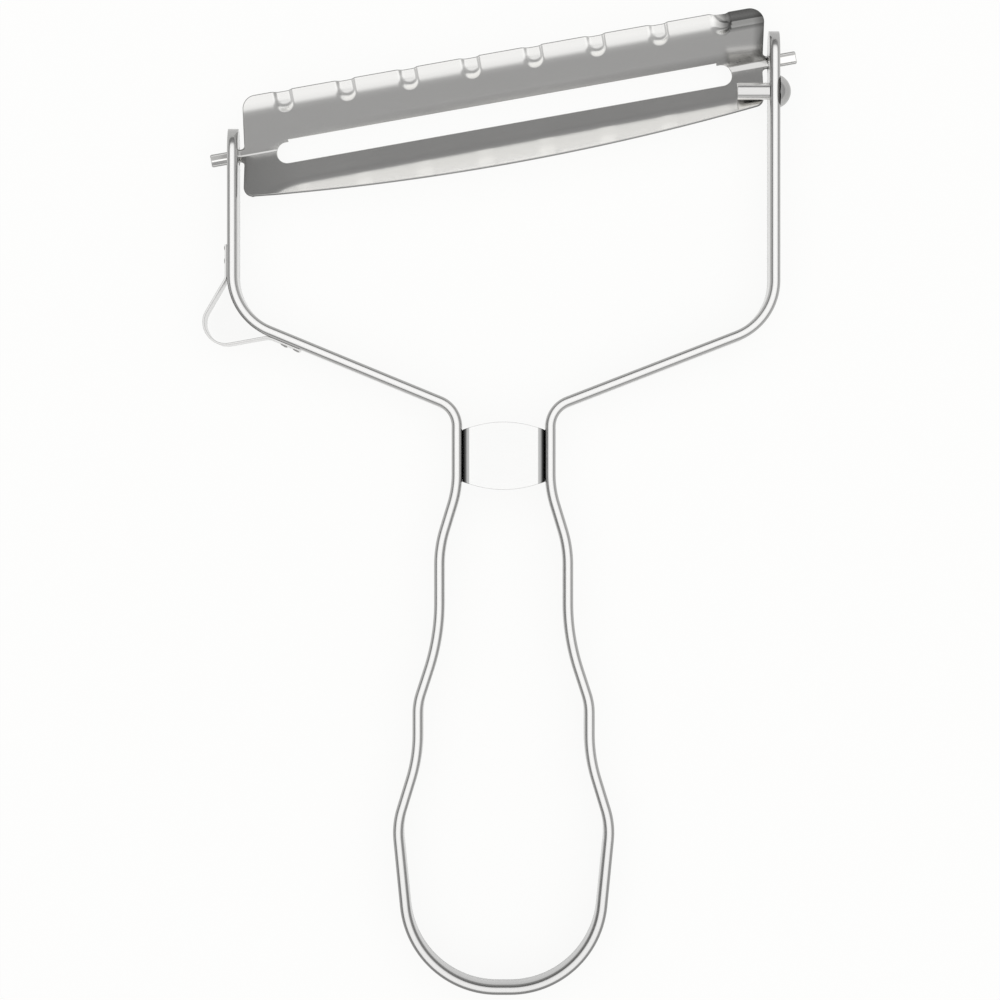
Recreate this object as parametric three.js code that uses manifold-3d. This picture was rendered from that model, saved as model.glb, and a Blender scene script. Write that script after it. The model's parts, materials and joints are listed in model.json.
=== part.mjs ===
// Wide vegetable peeler: one bent flat bar makes the handle loop, the waist, the
// shoulders and the two arms, and a slotted V-shaped blade swivels between the arms.
// Millimetres. The peeler lies on the bar's back edge: +X is to the right, +Y runs from
// the foot of the handle loop to the blade, and +Z is the front.

import * as THREE from 'three';
import { mergeVertices, toCreasedNormals } from 'three/addons/utils/BufferGeometryUtils.js';
import Module from 'manifold-3d';

const wasm = await Module();
wasm.setup();

// Flat bar of the frame
const BAR_THICKNESS = 2.0;
const BAR_DEPTH = 10.0;
const BAR_EDGE_RADIUS = 0.7;

// Handle: where the straight runs of the bar's centreline cross, and the bends between them
const LOOP_FOOT_HALF = 17.35;
const LOOP_FOOT_BEND = 16.7;
const LOOP_SIDE_HALF = 20.5;
const LOOP_SIDE_Y = 31.7;
const LOOP_SIDE_BEND = 15.0;
const MIDDLE_HALF = 16.53;
const MIDDLE_LOW_Y = 44.7;
const MIDDLE_LOW_BEND = 30.0;
const MIDDLE_HIGH_Y = 55.0;
const MIDDLE_HIGH_BEND = 12.0;
const NARROW_HALF = 12.38;
const NARROW_LOW_Y = 67.8;
const NARROW_LOW_BEND = 42.0;
const NARROW_HIGH_Y = 85.1;
const NARROW_HIGH_BEND = 23.0;
const WAIST_HALF = 9.0;
const WAIST_LOW_Y = 96.2;
const WAIST_LOW_BEND = 20.0;
const WAIST_HIGH_Y = 111.8;
const WAIST_HIGH_BEND = 5.2;

// Head: shoulders, arms and the pivot axis, which leans with the blade
const LEFT_SHOULDER_RISE = THREE.MathUtils.degToRad(22.4);
const RIGHT_SHOULDER_RISE = THREE.MathUtils.degToRad(21.2);
const SHOULDER_BEND = 11.5;
const ARM_HALF = 52.2;
const HEAD_LEAN = THREE.MathUtils.degToRad(9.93);
const PIVOT_Y = 169.7;
const PIVOT_SETBACK = 1.9;
const LEFT_LUG_LENGTH = 5.3;
const RIGHT_LUG_LENGTH = 5.9;

// Clearances between pieces
const SEAT_GAP = 0.3;
const PIVOT_CLEARANCE = 0.3;
const BLADE_END_GAP = 1.0;

// Blade sheet, measured square to the pivot axis
const BLADE_THICKNESS = 0.5;
const CREASE_SETBACK = 0.45;
const CREASE_BEND = 0.9;
const UPPER_LEAN = THREE.MathUtils.degToRad(36);
const LOWER_LEAN = THREE.MathUtils.degToRad(26);
const RIM_START = 7.9;
const RIM_LEAN = THREE.MathUtils.degToRad(19);
const RIM_BEND = 8.0;
const RIM_TOP = 10.5;
const LIP_START = 7.2;
const LIP_LEAN = THREE.MathUtils.degToRad(43);
const LIP_BEND = 7.0;
const LIP_EDGE_ENDS = 8.2;
const LIP_BELLY = 2.9;
const TOP_CORNER = 2.7;
const BOTTOM_CORNER = 1.8;

// Slot of the blade, with its ground cutting edge
const SLOT_MARGIN = 6.2;
const SLOT_LOWER = 3.1;
const SLOT_UPPER = 1.1;
const SLOT_END_RADIUS = 2.0;
const GROUND_MARGIN = 2.6;
const GROUND_DEPTH = 0.5;
const GRIND_WIDTH = 1.1;
const GRIND_EDGE = 0.12;

// Raised beads along the blade's rim
const BEAD_COUNT = 8;
const BEAD_PITCH = 12.2;
const BEAD_SHIFT = 0.4;
const BEAD_RADIUS = 3.4;
const BEAD_HEIGHT = 0.55;
const BEAD_REACH = 5.2;
const BEAD_DIP = 0.3;

// Pivot tabs at the blade's ends
const TAB_HALF = 1.15;
const TAB_PROUD = 3.5;
const TAB_NECK_RADIUS = 0.7;
const TAB_TIP_RADIUS = 0.3;

// Stop pin, riveted through the right arm
const PIN_DROP = 6.0;
const PIN_REACH = 6.3;
const PIN_RADIUS = 1.65;
const PIN_CHAMFER = 0.25;
const SHANK_RADIUS = 1.1;
const HEAD_RADIUS = 3.1;
const HEAD_HEIGHT = 2.1;

// Eye remover: a thin loop of strip on the outside of the left shoulder
const EYE_THICKNESS = 0.4;
const EYE_WIDTH = 8.0;
const EYE_ARM_TOP = 13.7;
const EYE_ARM_FOOT = 7.3;
const EYE_ARM_BEND = 1.6;
const EYE_NOSE_OUT = 6.3;
const EYE_NOSE_DROP = 1.4;
const EYE_HEEL_OUT = 3.2;
const EYE_HEEL_DROP = 5.9;
const EYE_NOSE_BEND = 4.1;
const EYE_RETURN = 7.8;
const EYE_RETURN_BEND = 3.0;
const EYE_SEAT_LENGTH = 6.6;

// Waist plate: a shallow channel between the two legs of the waist
const PLATE_THICKNESS = 0.5;
const PLATE_SETBACK = 0.4;
const PLATE_FLANGE = 5.5;
const PLATE_BEND = 1.1;
const PLATE_LENGTH = 8.4;
const PLATE_CROWN = 2.3;
const PLATE_DROP = 1.5;

// Fineness of the facets
const BEND_STEP = THREE.MathUtils.degToRad(6.5);
const EDGE_STEPS = 2;
const ROUND_STEPS = 24;
const CROWN_STEPS = 10;
const BELLY_STEPS = 20;
const BEAD_STEPS = 24;
const LUG_STEPS = 6;
const LUG_SPREAD = THREE.MathUtils.degToRad(84);
const DIP_STEPS = 72;
const WELD = 1e-5;
const CREASE_ANGLE = THREE.MathUtils.degToRad(36);

// Places that follow from the sizes above
const barHalf = BAR_THICKNESS / 2;
const armInner = ARM_HALF - barHalf;
const armOuter = ARM_HALF + barHalf;
const pivotZ = BAR_DEPTH / 2 - PIVOT_SETBACK;
const bladeHalf = armInner - BLADE_END_GAP;
const sheetHalf = BLADE_THICKNESS / 2;

const steel = new THREE.MeshStandardMaterial({ color: 0xd6d6d3, metalness: 1, roughness: 0.22 });
const satinSteel = new THREE.MeshStandardMaterial({ color: 0xb9b9b6, metalness: 1, roughness: 0.34 });
const brightSteel = new THREE.MeshStandardMaterial({ color: 0xe4e4e2, metalness: 1, roughness: 0.16 });

// Corner of a chain: the point where two runs cross and the radius that rounds it
function corner(x, y, radius = 0) {
  return { at: new THREE.Vector2(x, y), radius };
}

// Points of one rounded corner. A bend never takes more than half of a run.
function bendPoints(before, here, after) {
  const arriving = here.at.clone().sub(before.at);
  const leaving = after.at.clone().sub(here.at);
  const room = Math.min(arriving.length(), leaving.length()) / 2;
  arriving.normalize();
  leaving.normalize();
  const turn = Math.atan2(arriving.cross(leaving), arriving.dot(leaving));
  if (here.radius === 0 || turn === 0) return [here.at.clone()];
  const half = Math.tan(Math.abs(turn) / 2);
  const radius = Math.min(here.radius, room / half);
  const start = here.at.clone().addScaledVector(arriving, -radius * half);
  const side = new THREE.Vector2(-arriving.y, arriving.x).multiplyScalar(Math.sign(turn));
  const centre = start.clone().addScaledVector(side, radius);
  const steps = Math.max(1, Math.ceil(Math.abs(turn) / BEND_STEP));
  return Array.from({ length: steps + 1 }, (_, i) => (
    start.clone().rotateAround(centre, (turn * i) / steps)
  ));
}

// Open chain of runs and bends
function openChain(corners) {
  const inner = corners.slice(1, -1);
  const bends = inner.flatMap((here, i) => bendPoints(corners[i], here, corners[i + 2]));
  return [corners[0].at.clone(), ...bends, corners.at(-1).at.clone()];
}

// Closed outline of runs and bends
function closedChain(corners) {
  const count = corners.length;
  return corners.flatMap((here, i) => (
    bendPoints(corners[(i + count - 1) % count], here, corners[(i + 1) % count])
  ));
}

// Normals of an open chain, to the left of its run, long enough to keep a wall even at bends
function chainNormals(points) {
  return points.map((point, i) => {
    const arriving = point.clone().sub(points[Math.max(i - 1, 0)]).normalize();
    const leaving = points[Math.min(i + 1, points.length - 1)].clone().sub(point).normalize();
    const along = arriving.clone().add(leaving).normalize();
    const stretch = arriving.length() && leaving.length() ? along.dot(leaving) : 1;
    return new THREE.Vector2(-along.y, along.x).divideScalar(stretch);
  });
}

// Closed outline of a wall that follows an open chain
function wallOutline(points, half) {
  const normals = chainNormals(points);
  const left = points.map((point, i) => point.clone().addScaledVector(normals[i], half));
  const right = points.map((point, i) => point.clone().addScaledVector(normals[i], -half));
  return [...right, ...left.reverse()];
}

// Shallow arc between two points, bulging to the right of the way from start to end
function crownPoints(start, end, bulge, steps) {
  const chord = end.clone().sub(start);
  const outward = new THREE.Vector2(chord.y, -chord.x).normalize();
  return Array.from({ length: steps - 1 }, (_, i) => {
    const t = (i + 1) / steps;
    const point = start.clone().lerp(end, t).addScaledVector(outward, 4 * bulge * t * (1 - t));
    return corner(point.x, point.y);
  });
}

// Prism of an outline, from one height along Z to another
function prism(outline, low, high) {
  const geometry = new THREE.ExtrudeGeometry(new THREE.Shape(outline), {
    depth: high - low,
    bevelEnabled: false,
  });
  return geometry.translate(0, 0, low);
}

// Cylinder from one place along X to another
function crossBar(radius, from, to) {
  const geometry = new THREE.CylinderGeometry(radius, radius, to - from, ROUND_STEPS);
  return geometry.rotateZ(-Math.PI / 2).translate((from + to) / 2, 0, 0);
}

// Solid for joining and cutting
function solid(geometry) {
  geometry.deleteAttribute('normal');
  geometry.deleteAttribute('uv');
  const merged = mergeVertices(geometry, WELD);
  const corners = merged.index.array;
  const kept = [];
  for (let i = 0; i < corners.length; i += 3) {
    const [a, b, c] = corners.slice(i, i + 3);
    if (a !== b && b !== c && c !== a) kept.push(a, b, c);
  }
  return new wasm.Manifold(new wasm.Mesh({
    numProp: 3,
    vertProperties: new Float32Array(merged.attributes.position.array),
    triVerts: new Uint32Array(kept),
  }));
}

// Named mesh of a finished solid
function piece(name, body, material) {
  const { vertProperties, triVerts } = body.getMesh();
  const geometry = new THREE.BufferGeometry();
  geometry.setAttribute('position', new THREE.BufferAttribute(vertProperties, 3));
  geometry.setIndex(new THREE.BufferAttribute(triVerts, 1));
  const mesh = new THREE.Mesh(toCreasedNormals(geometry, CREASE_ANGLE), material);
  mesh.name = name;
  return mesh;
}

// Height of the pivot axis over the handle's foot at a place across the head
function pivotHeight(x) {
  return PIVOT_Y + x * Math.tan(HEAD_LEAN);
}

// Blade coordinates: u along the pivot axis, v up the blade, w to the front
function endU(side, v) {
  return (side * bladeHalf + v * Math.sin(HEAD_LEAN)) / Math.cos(HEAD_LEAN);
}

// Depth of the sheet's middle at the upper plate, the rim, the lower plate and the lip
const rimStartW = RIM_START * Math.tan(UPPER_LEAN) - CREASE_SETBACK;
const rimTopW = rimStartW + (RIM_TOP - RIM_START) * Math.tan(RIM_LEAN);
const lipStartW = LIP_START * Math.tan(LOWER_LEAN) - CREASE_SETBACK;
const lipEdge = LIP_EDGE_ENDS + LIP_BELLY;

// Half lengths that reach past the whole blade, for cutting right through it
const clearU = 2 * (armOuter + TAB_PROUD);
const clearW = 2 * (RIM_TOP + lipEdge);

// Ends of the slot and of its ground edge along the pivot axis
const slotEnd = (bladeHalf - SLOT_MARGIN) / Math.cos(HEAD_LEAN);
const groundEnd = slotEnd - GROUND_MARGIN;

// The hole lets the folded tab turn: its farthest corner plus the clearance
const tabTopW = TAB_HALF * Math.tan(UPPER_LEAN) - CREASE_SETBACK;
const holeRadius = Math.hypot(TAB_HALF, tabTopW) + sheetHalf + PIVOT_CLEARANCE;

// The stop pin stands clear of the lower plate by the seat gap, at the blade's right end
const pinY = pivotHeight(ARM_HALF) - PIN_DROP;
const pinOverPlate = PIN_RADIUS + sheetHalf + SEAT_GAP
  + Math.sin(LOWER_LEAN) * (bladeHalf * Math.sin(HEAD_LEAN) - (pinY - PIVOT_Y) * Math.cos(HEAD_LEAN));
const pinZ = pivotZ - CREASE_SETBACK + pinOverPlate / Math.cos(LOWER_LEAN);

// Height at which the run of a shoulder crosses the run of an arm
function shoulderHeight(rise) {
  return WAIST_HIGH_Y + (ARM_HALF - WAIST_HALF) * Math.tan(rise);
}

// Centreline of one half of the bar, from the loop's foot to the end of the arm
function barCorners(side) {
  const rise = side < 0 ? LEFT_SHOULDER_RISE : RIGHT_SHOULDER_RISE;
  const lug = side < 0 ? LEFT_LUG_LENGTH : RIGHT_LUG_LENGTH;
  return [
    corner(side * LOOP_FOOT_HALF, 0, LOOP_FOOT_BEND),
    corner(side * LOOP_SIDE_HALF, LOOP_SIDE_Y, LOOP_SIDE_BEND),
    corner(side * MIDDLE_HALF, MIDDLE_LOW_Y, MIDDLE_LOW_BEND),
    corner(side * MIDDLE_HALF, MIDDLE_HIGH_Y, MIDDLE_HIGH_BEND),
    corner(side * NARROW_HALF, NARROW_LOW_Y, NARROW_LOW_BEND),
    corner(side * NARROW_HALF, NARROW_HIGH_Y, NARROW_HIGH_BEND),
    corner(side * WAIST_HALF, WAIST_LOW_Y, WAIST_LOW_BEND),
    corner(side * WAIST_HALF, WAIST_HIGH_Y, WAIST_HIGH_BEND),
    corner(side * ARM_HALF, shoulderHeight(rise), SHOULDER_BEND),
    corner(side * ARM_HALF, pivotHeight(side * ARM_HALF) + lug),
  ];
}

// Rounded section of the bar at one place, between two depths
function barSection(point, normal, low, high) {
  const radius = Math.min(BAR_EDGE_RADIUS, (high - low) / 3);
  const section = [];
  for (let quarter = 0; quarter < 4; quarter += 1) {
    const side = quarter === 0 || quarter === 3 ? 1 : -1;
    const centreZ = quarter < 2 ? high - radius : low + radius;
    for (let step = 0; step <= EDGE_STEPS; step += 1) {
      const angle = (Math.PI / 2) * (quarter + step / EDGE_STEPS);
      const across = side * (barHalf - radius) + radius * Math.cos(angle);
      const at = point.clone().addScaledVector(normal, across);
      section.push(new THREE.Vector3(at.x, at.y, centreZ + radius * Math.sin(angle)));
    }
  }
  return section;
}

// Closed body through a row of sections, with flat ends
function loft(sections) {
  const count = sections[0].length;
  const last = (sections.length - 1) * count;
  const faces = [];
  for (let row = 0; row < last; row += count) {
    for (let i = 0; i < count; i += 1) {
      const a = row + i;
      const b = row + ((i + 1) % count);
      faces.push(a, b, b + count, a, b + count, a + count);
    }
  }
  for (let i = 1; i < count - 1; i += 1) {
    faces.push(0, i + 1, i, last, last + i, last + i + 1);
  }
  const geometry = new THREE.BufferGeometry().setFromPoints(sections.flat());
  return geometry.setIndex(faces);
}

// Frame: the bar swept along its centreline, with half-round lugs and holes in the arms
function makeFrame() {
  const points = openChain([...barCorners(-1).reverse(), ...barCorners(1)]);
  const lugRadius = BAR_DEPTH / 2;
  const lugAngles = Array.from({ length: LUG_STEPS }, (_, i) => (LUG_SPREAD * i) / (LUG_STEPS - 1));
  const lugPoint = (end, angle) => (
    new THREE.Vector2(end.x, end.y - lugRadius * (1 - Math.sin(angle)))
  );
  const leftLug = lugAngles.map((angle) => lugPoint(points[0], angle)).reverse();
  const rightLug = lugAngles.map((angle) => lugPoint(points.at(-1), angle));
  const stations = [...leftLug, ...points.slice(1, -1), ...rightLug];
  const normals = chainNormals(stations);
  const halfDepth = (i) => {
    const fromEnd = Math.min(i, stations.length - 1 - i);
    return fromEnd < LUG_STEPS ? lugRadius * Math.cos(lugAngles[LUG_STEPS - 1 - fromEnd]) : lugRadius;
  };
  const sections = stations.map((point, i) => (
    barSection(point, normals[i], lugRadius - halfDepth(i), lugRadius + halfDepth(i))
  ));
  const reach = ARM_HALF + BAR_DEPTH;
  const pivotHole = crossBar(holeRadius, -reach, reach)
    .rotateZ(HEAD_LEAN)
    .translate(0, PIVOT_Y, pivotZ);
  const rivetHole = crossBar(SHANK_RADIUS + SEAT_GAP, 0, reach).translate(0, pinY, pinZ);
  const bar = solid(loft(sections));
  return bar.subtract(solid(pivotHole)).subtract(solid(rivetHole));
}

// Middle line of the blade's sheet, from the lip to the rim, in v and w
function sheetLine(lipEnd, rimEnd) {
  return openChain([
    corner(-lipEnd, lipStartW + (lipEnd - LIP_START) * Math.tan(LIP_LEAN)),
    corner(-LIP_START, lipStartW, LIP_BEND),
    corner(0, -CREASE_SETBACK, CREASE_BEND),
    corner(RIM_START, rimStartW, RIM_BEND),
    corner(rimEnd, rimStartW + (rimEnd - RIM_START) * Math.tan(RIM_LEAN)),
  ]);
}

// Body with one outline in v and w, along the blade
function alongBlade(outline, from, to) {
  const geometry = prism(outline, from, to);
  const axes = new THREE.Matrix4().set(0, 0, 1, 0, 1, 0, 0, 0, 0, 1, 0, 0, 0, 0, 0, 1);
  return solid(geometry.applyMatrix4(axes));
}

// Front outline of the blade with a tab at each end, in u and v
function bladeOutline() {
  const tabU = (armOuter + TAB_PROUD) / Math.cos(HEAD_LEAN);
  const lowLeft = new THREE.Vector2(endU(-1, -LIP_EDGE_ENDS), -LIP_EDGE_ENDS);
  const lowRight = new THREE.Vector2(endU(1, -LIP_EDGE_ENDS), -LIP_EDGE_ENDS);
  return closedChain([
    corner(lowLeft.x, lowLeft.y, BOTTOM_CORNER),
    ...crownPoints(lowLeft, lowRight, LIP_BELLY, BELLY_STEPS),
    corner(lowRight.x, lowRight.y, BOTTOM_CORNER),
    corner(endU(1, -TAB_HALF), -TAB_HALF, TAB_NECK_RADIUS),
    corner(tabU, -TAB_HALF, TAB_TIP_RADIUS),
    corner(tabU, TAB_HALF, TAB_TIP_RADIUS),
    corner(endU(1, TAB_HALF), TAB_HALF, TAB_NECK_RADIUS),
    corner(endU(1, RIM_TOP), RIM_TOP, TOP_CORNER),
    corner(endU(-1, RIM_TOP), RIM_TOP, TOP_CORNER),
    corner(endU(-1, TAB_HALF), TAB_HALF, TAB_NECK_RADIUS),
    corner(-tabU, TAB_HALF, TAB_TIP_RADIUS),
    corner(-tabU, -TAB_HALF, TAB_TIP_RADIUS),
    corner(endU(-1, -TAB_HALF), -TAB_HALF, TAB_NECK_RADIUS),
  ]);
}

// Slot outline in u and v: round ends, and a step where the cutting edge is ground
function slotOutline() {
  const groundTop = SLOT_UPPER + GROUND_DEPTH;
  return closedChain([
    corner(-slotEnd, -SLOT_LOWER, SLOT_END_RADIUS),
    corner(slotEnd, -SLOT_LOWER, SLOT_END_RADIUS),
    corner(slotEnd, SLOT_UPPER, SLOT_END_RADIUS),
    corner(groundEnd, SLOT_UPPER),
    corner(groundEnd, groundTop),
    corner(-groundEnd, groundTop),
    corner(-groundEnd, SLOT_UPPER),
    corner(-slotEnd, SLOT_UPPER, SLOT_END_RADIUS),
  ]);
}

// Wedge ground off the back of the sheet along the slot's upper edge
function grindCut() {
  const edgeV = SLOT_UPPER + GROUND_DEPTH;
  const edge = new THREE.Vector2(edgeV, edgeV * Math.tan(UPPER_LEAN) - CREASE_SETBACK);
  const along = new THREE.Vector2(Math.cos(UPPER_LEAN), Math.sin(UPPER_LEAN));
  const back = new THREE.Vector2(along.y, -along.x);
  const at = (up, behind) => edge.clone().addScaledVector(along, up).addScaledVector(back, behind);
  const tip = GRIND_EDGE - sheetHalf;
  const wedge = [
    at(-GRIND_WIDTH, tip - sheetHalf),
    at(-GRIND_WIDTH, BLADE_THICKNESS),
    at(GRIND_WIDTH, BLADE_THICKNESS),
    at(GRIND_WIDTH, sheetHalf),
    at(0, tip),
  ];
  return alongBlade(wedge, -groundEnd, groundEnd);
}

// Places of the beads along the blade, a little to the left of the middle of the rim's edge
function beadPlaces() {
  const middle = (endU(1, RIM_TOP) + endU(-1, RIM_TOP)) / 2 - BEAD_SHIFT;
  return Array.from({ length: BEAD_COUNT }, (_, i) => (
    middle + (i - (BEAD_COUNT - 1) / 2) * BEAD_PITCH
  ));
}

// Row of round-ended bars that lie behind the leaning rim, for the beads and their hollows
function beadRow(radius) {
  const bars = beadPlaces().map((u) => {
    const bar = new THREE.CapsuleGeometry(radius, BEAD_REACH, BEAD_STEPS / 2, BEAD_STEPS);
    bar.translate(u, BEAD_RADIUS - BEAD_REACH / 2, sheetHalf + BEAD_HEIGHT - BEAD_RADIUS);
    return solid(bar.rotateX(RIM_LEAN).translate(0, RIM_TOP, rimTopW));
  });
  return bars.reduce((row, bar) => row.add(bar));
}

// Shallow dips in the rim's edge where the beads were pressed
function dipRow() {
  const half = Math.sqrt(BEAD_RADIUS ** 2 - (BEAD_RADIUS - BEAD_HEIGHT) ** 2);
  const radius = (half ** 2 + BEAD_DIP ** 2) / (2 * BEAD_DIP);
  const dips = beadPlaces().map((u) => {
    const cutter = new THREE.CylinderGeometry(radius, radius, 2 * clearW, DIP_STEPS);
    return solid(cutter.rotateX(Math.PI / 2).translate(u, RIM_TOP - BEAD_DIP + radius, 0));
  });
  return dips.reduce((row, dip) => row.add(dip));
}

// Blade: one sheet folded along the pivot axis, slotted, beaded and cut to its outline
function makeBlade() {
  const line = sheetLine(lipEdge + BOTTOM_CORNER, RIM_TOP + TOP_CORNER);
  const inFront = [line.at(-1), line[0]].map(({ x }) => new THREE.Vector2(x, clearW));
  const sheet = alongBlade(wallOutline(line, sheetHalf), -clearU, clearU);
  const beads = beadRow(BEAD_RADIUS).intersect(alongBlade([...line, ...inFront], -clearU, clearU));
  const hollows = beadRow(BEAD_RADIUS - BLADE_THICKNESS);
  const outline = solid(prism(bladeOutline(), -clearW, clearW)).subtract(dipRow());
  const slot = solid(prism(slotOutline(), -clearW, clearW));
  return sheet.add(beads).subtract(hollows).intersect(outline).subtract(slot).subtract(grindCut());
}

// Stop pin: barrel inside the right arm, shank through it and a domed head outside
function makeStopPin() {
  const inner = armInner - SEAT_GAP;
  const outer = armOuter + SEAT_GAP;
  const tip = armInner - PIN_REACH;
  const domeRadius = (HEAD_RADIUS ** 2 + HEAD_HEIGHT ** 2) / (2 * HEAD_HEIGHT);
  const domeCentre = outer + HEAD_HEIGHT - domeRadius;
  const spread = Math.asin(HEAD_RADIUS / domeRadius);
  const dome = Array.from({ length: CROWN_STEPS + 1 }, (_, i) => {
    const angle = spread * (1 - i / CROWN_STEPS);
    return new THREE.Vector2(domeRadius * Math.sin(angle), domeCentre + domeRadius * Math.cos(angle));
  });
  dome.at(-1).x = 0;
  const profile = [
    new THREE.Vector2(0, tip),
    new THREE.Vector2(PIN_RADIUS - PIN_CHAMFER, tip),
    new THREE.Vector2(PIN_RADIUS, tip + PIN_CHAMFER),
    new THREE.Vector2(PIN_RADIUS, inner),
    new THREE.Vector2(SHANK_RADIUS, inner),
    new THREE.Vector2(SHANK_RADIUS, outer),
    ...dome,
  ];
  return solid(new THREE.LatheGeometry(profile, ROUND_STEPS).rotateZ(-Math.PI / 2));
}

// Eye remover: down the left arm, out into a round-nosed loop and back under the shoulder
function makeEyeRemover() {
  const stand = barHalf + SEAT_GAP + EYE_THICKNESS / 2;
  const armX = -(ARM_HALF + stand);
  const shoulderY = shoulderHeight(LEFT_SHOULDER_RISE);
  const along = new THREE.Vector2(Math.cos(LEFT_SHOULDER_RISE), -Math.sin(LEFT_SHOULDER_RISE));
  const under = new THREE.Vector2(-along.y, along.x).multiplyScalar(-stand);
  const onShoulder = (way) => (
    new THREE.Vector2(-ARM_HALF, shoulderY).addScaledVector(along, way).add(under)
  );
  const returnPoint = onShoulder(EYE_RETURN);
  const seatEnd = onShoulder(EYE_RETURN + EYE_SEAT_LENGTH);
  const line = openChain([
    corner(armX, shoulderY + EYE_ARM_TOP),
    corner(armX, shoulderY + EYE_ARM_FOOT, EYE_ARM_BEND),
    corner(-ARM_HALF - EYE_NOSE_OUT, shoulderY - EYE_NOSE_DROP, EYE_NOSE_BEND),
    corner(-ARM_HALF - EYE_HEEL_OUT, shoulderY - EYE_HEEL_DROP, EYE_NOSE_BEND),
    corner(returnPoint.x, returnPoint.y, EYE_RETURN_BEND),
    corner(seatEnd.x, seatEnd.y),
  ]);
  const low = (BAR_DEPTH - EYE_WIDTH) / 2;
  return solid(prism(wallOutline(line, EYE_THICKNESS / 2), low, low + EYE_WIDTH));
}

// Waist plate: a bare face with crowned ends and two flanges bent back along the legs
function makeWaistPlate() {
  const half = WAIST_HALF - barHalf - SEAT_GAP - PLATE_THICKNESS / 2;
  const face = BAR_DEPTH - PLATE_SETBACK - PLATE_THICKNESS / 2;
  const back = face - PLATE_FLANGE;
  const channel = wallOutline(openChain([
    corner(half, back),
    corner(half, face, PLATE_BEND),
    corner(-half, face, PLATE_BEND),
    corner(-half, back),
  ]), PLATE_THICKNESS / 2);
  const middle = (WAIST_LOW_Y + WAIST_HIGH_Y) / 2 - PLATE_DROP;
  const low = middle - PLATE_LENGTH / 2;
  const high = middle + PLATE_LENGTH / 2;
  const corners = [
    new THREE.Vector2(-WAIST_HALF, low),
    new THREE.Vector2(WAIST_HALF, low),
    new THREE.Vector2(WAIST_HALF, high),
    new THREE.Vector2(-WAIST_HALF, high),
  ];
  const outline = closedChain([
    corner(corners[0].x, corners[0].y),
    ...crownPoints(corners[0], corners[1], PLATE_CROWN, CROWN_STEPS),
    corner(corners[1].x, corners[1].y),
    corner(corners[2].x, corners[2].y),
    ...crownPoints(corners[2], corners[3], PLATE_CROWN, CROWN_STEPS),
    corner(corners[3].x, corners[3].y),
  ]);
  const reach = PLATE_LENGTH + PLATE_CROWN;
  const bent = prism(channel, -reach, reach).rotateX(Math.PI / 2).translate(0, middle, 0);
  return solid(bent).intersect(solid(prism(outline, 0, BAR_DEPTH)));
}

const blade = piece('blade', makeBlade(), satinSteel);
const bladeMount = new THREE.Group();
bladeMount.position.set(0, PIVOT_Y, pivotZ);
bladeMount.rotation.z = HEAD_LEAN;
bladeMount.add(blade);

const stopPin = piece('stop_pin', makeStopPin(), steel);
stopPin.position.set(0, pinY, pinZ);

const peeler = new THREE.Group();
peeler.add(
  piece('frame', makeFrame(), steel),
  piece('waist_plate', makeWaistPlate(), brightSteel),
  piece('eye_remover', makeEyeRemover(), steel),
  stopPin,
  bladeMount,
);

export default peeler;
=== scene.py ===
"""Looks of a wide steel vegetable peeler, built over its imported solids.

A flat bar is bent into a loop handle and two arms, and a folded, slotted blade swivels between
the arms. Each piece is drawn again here with fine bends, rounded edges and a steel finish.
"""

import json
import math

import bmesh
import bpy
import numpy as np
from bpy.props import FloatProperty, FloatVectorProperty, IntProperty, PointerProperty
from bpy.types import Operator, Panel, PropertyGroup
from mathutils import Matrix, Vector
from mathutils.geometry import delaunay_2d_cdt
from mathutils.kdtree import KDTree

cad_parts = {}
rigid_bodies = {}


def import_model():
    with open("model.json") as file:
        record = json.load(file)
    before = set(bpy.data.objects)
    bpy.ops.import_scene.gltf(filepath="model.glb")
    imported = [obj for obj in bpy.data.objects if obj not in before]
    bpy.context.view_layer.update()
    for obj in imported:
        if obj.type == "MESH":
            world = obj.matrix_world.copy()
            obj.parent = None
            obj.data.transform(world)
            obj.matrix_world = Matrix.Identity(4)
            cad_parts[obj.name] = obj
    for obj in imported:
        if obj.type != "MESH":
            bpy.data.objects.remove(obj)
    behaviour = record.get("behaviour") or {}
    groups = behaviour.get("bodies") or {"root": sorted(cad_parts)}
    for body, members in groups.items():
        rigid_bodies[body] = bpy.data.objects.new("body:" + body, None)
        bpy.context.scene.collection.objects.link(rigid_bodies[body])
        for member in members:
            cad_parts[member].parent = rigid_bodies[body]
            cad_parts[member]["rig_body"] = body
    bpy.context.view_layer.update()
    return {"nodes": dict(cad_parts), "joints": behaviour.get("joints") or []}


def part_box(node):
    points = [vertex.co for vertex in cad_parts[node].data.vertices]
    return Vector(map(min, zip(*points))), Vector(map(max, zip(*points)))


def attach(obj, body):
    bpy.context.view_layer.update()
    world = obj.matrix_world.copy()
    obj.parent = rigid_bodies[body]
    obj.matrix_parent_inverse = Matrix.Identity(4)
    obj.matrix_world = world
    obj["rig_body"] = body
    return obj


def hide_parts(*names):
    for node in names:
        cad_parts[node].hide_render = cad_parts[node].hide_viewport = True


bl_info = {
    "name": "Wide Vegetable Peeler",
    "version": (1, 0, 0),
    "blender": (4, 5, 0),
    "location": "3D View > Sidebar > Peeler",
    "description": "Draws a wide steel peeler with a bent bar handle and a swivelling blade",
    "category": "Object",
}

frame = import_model()

MM = 0.001

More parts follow.
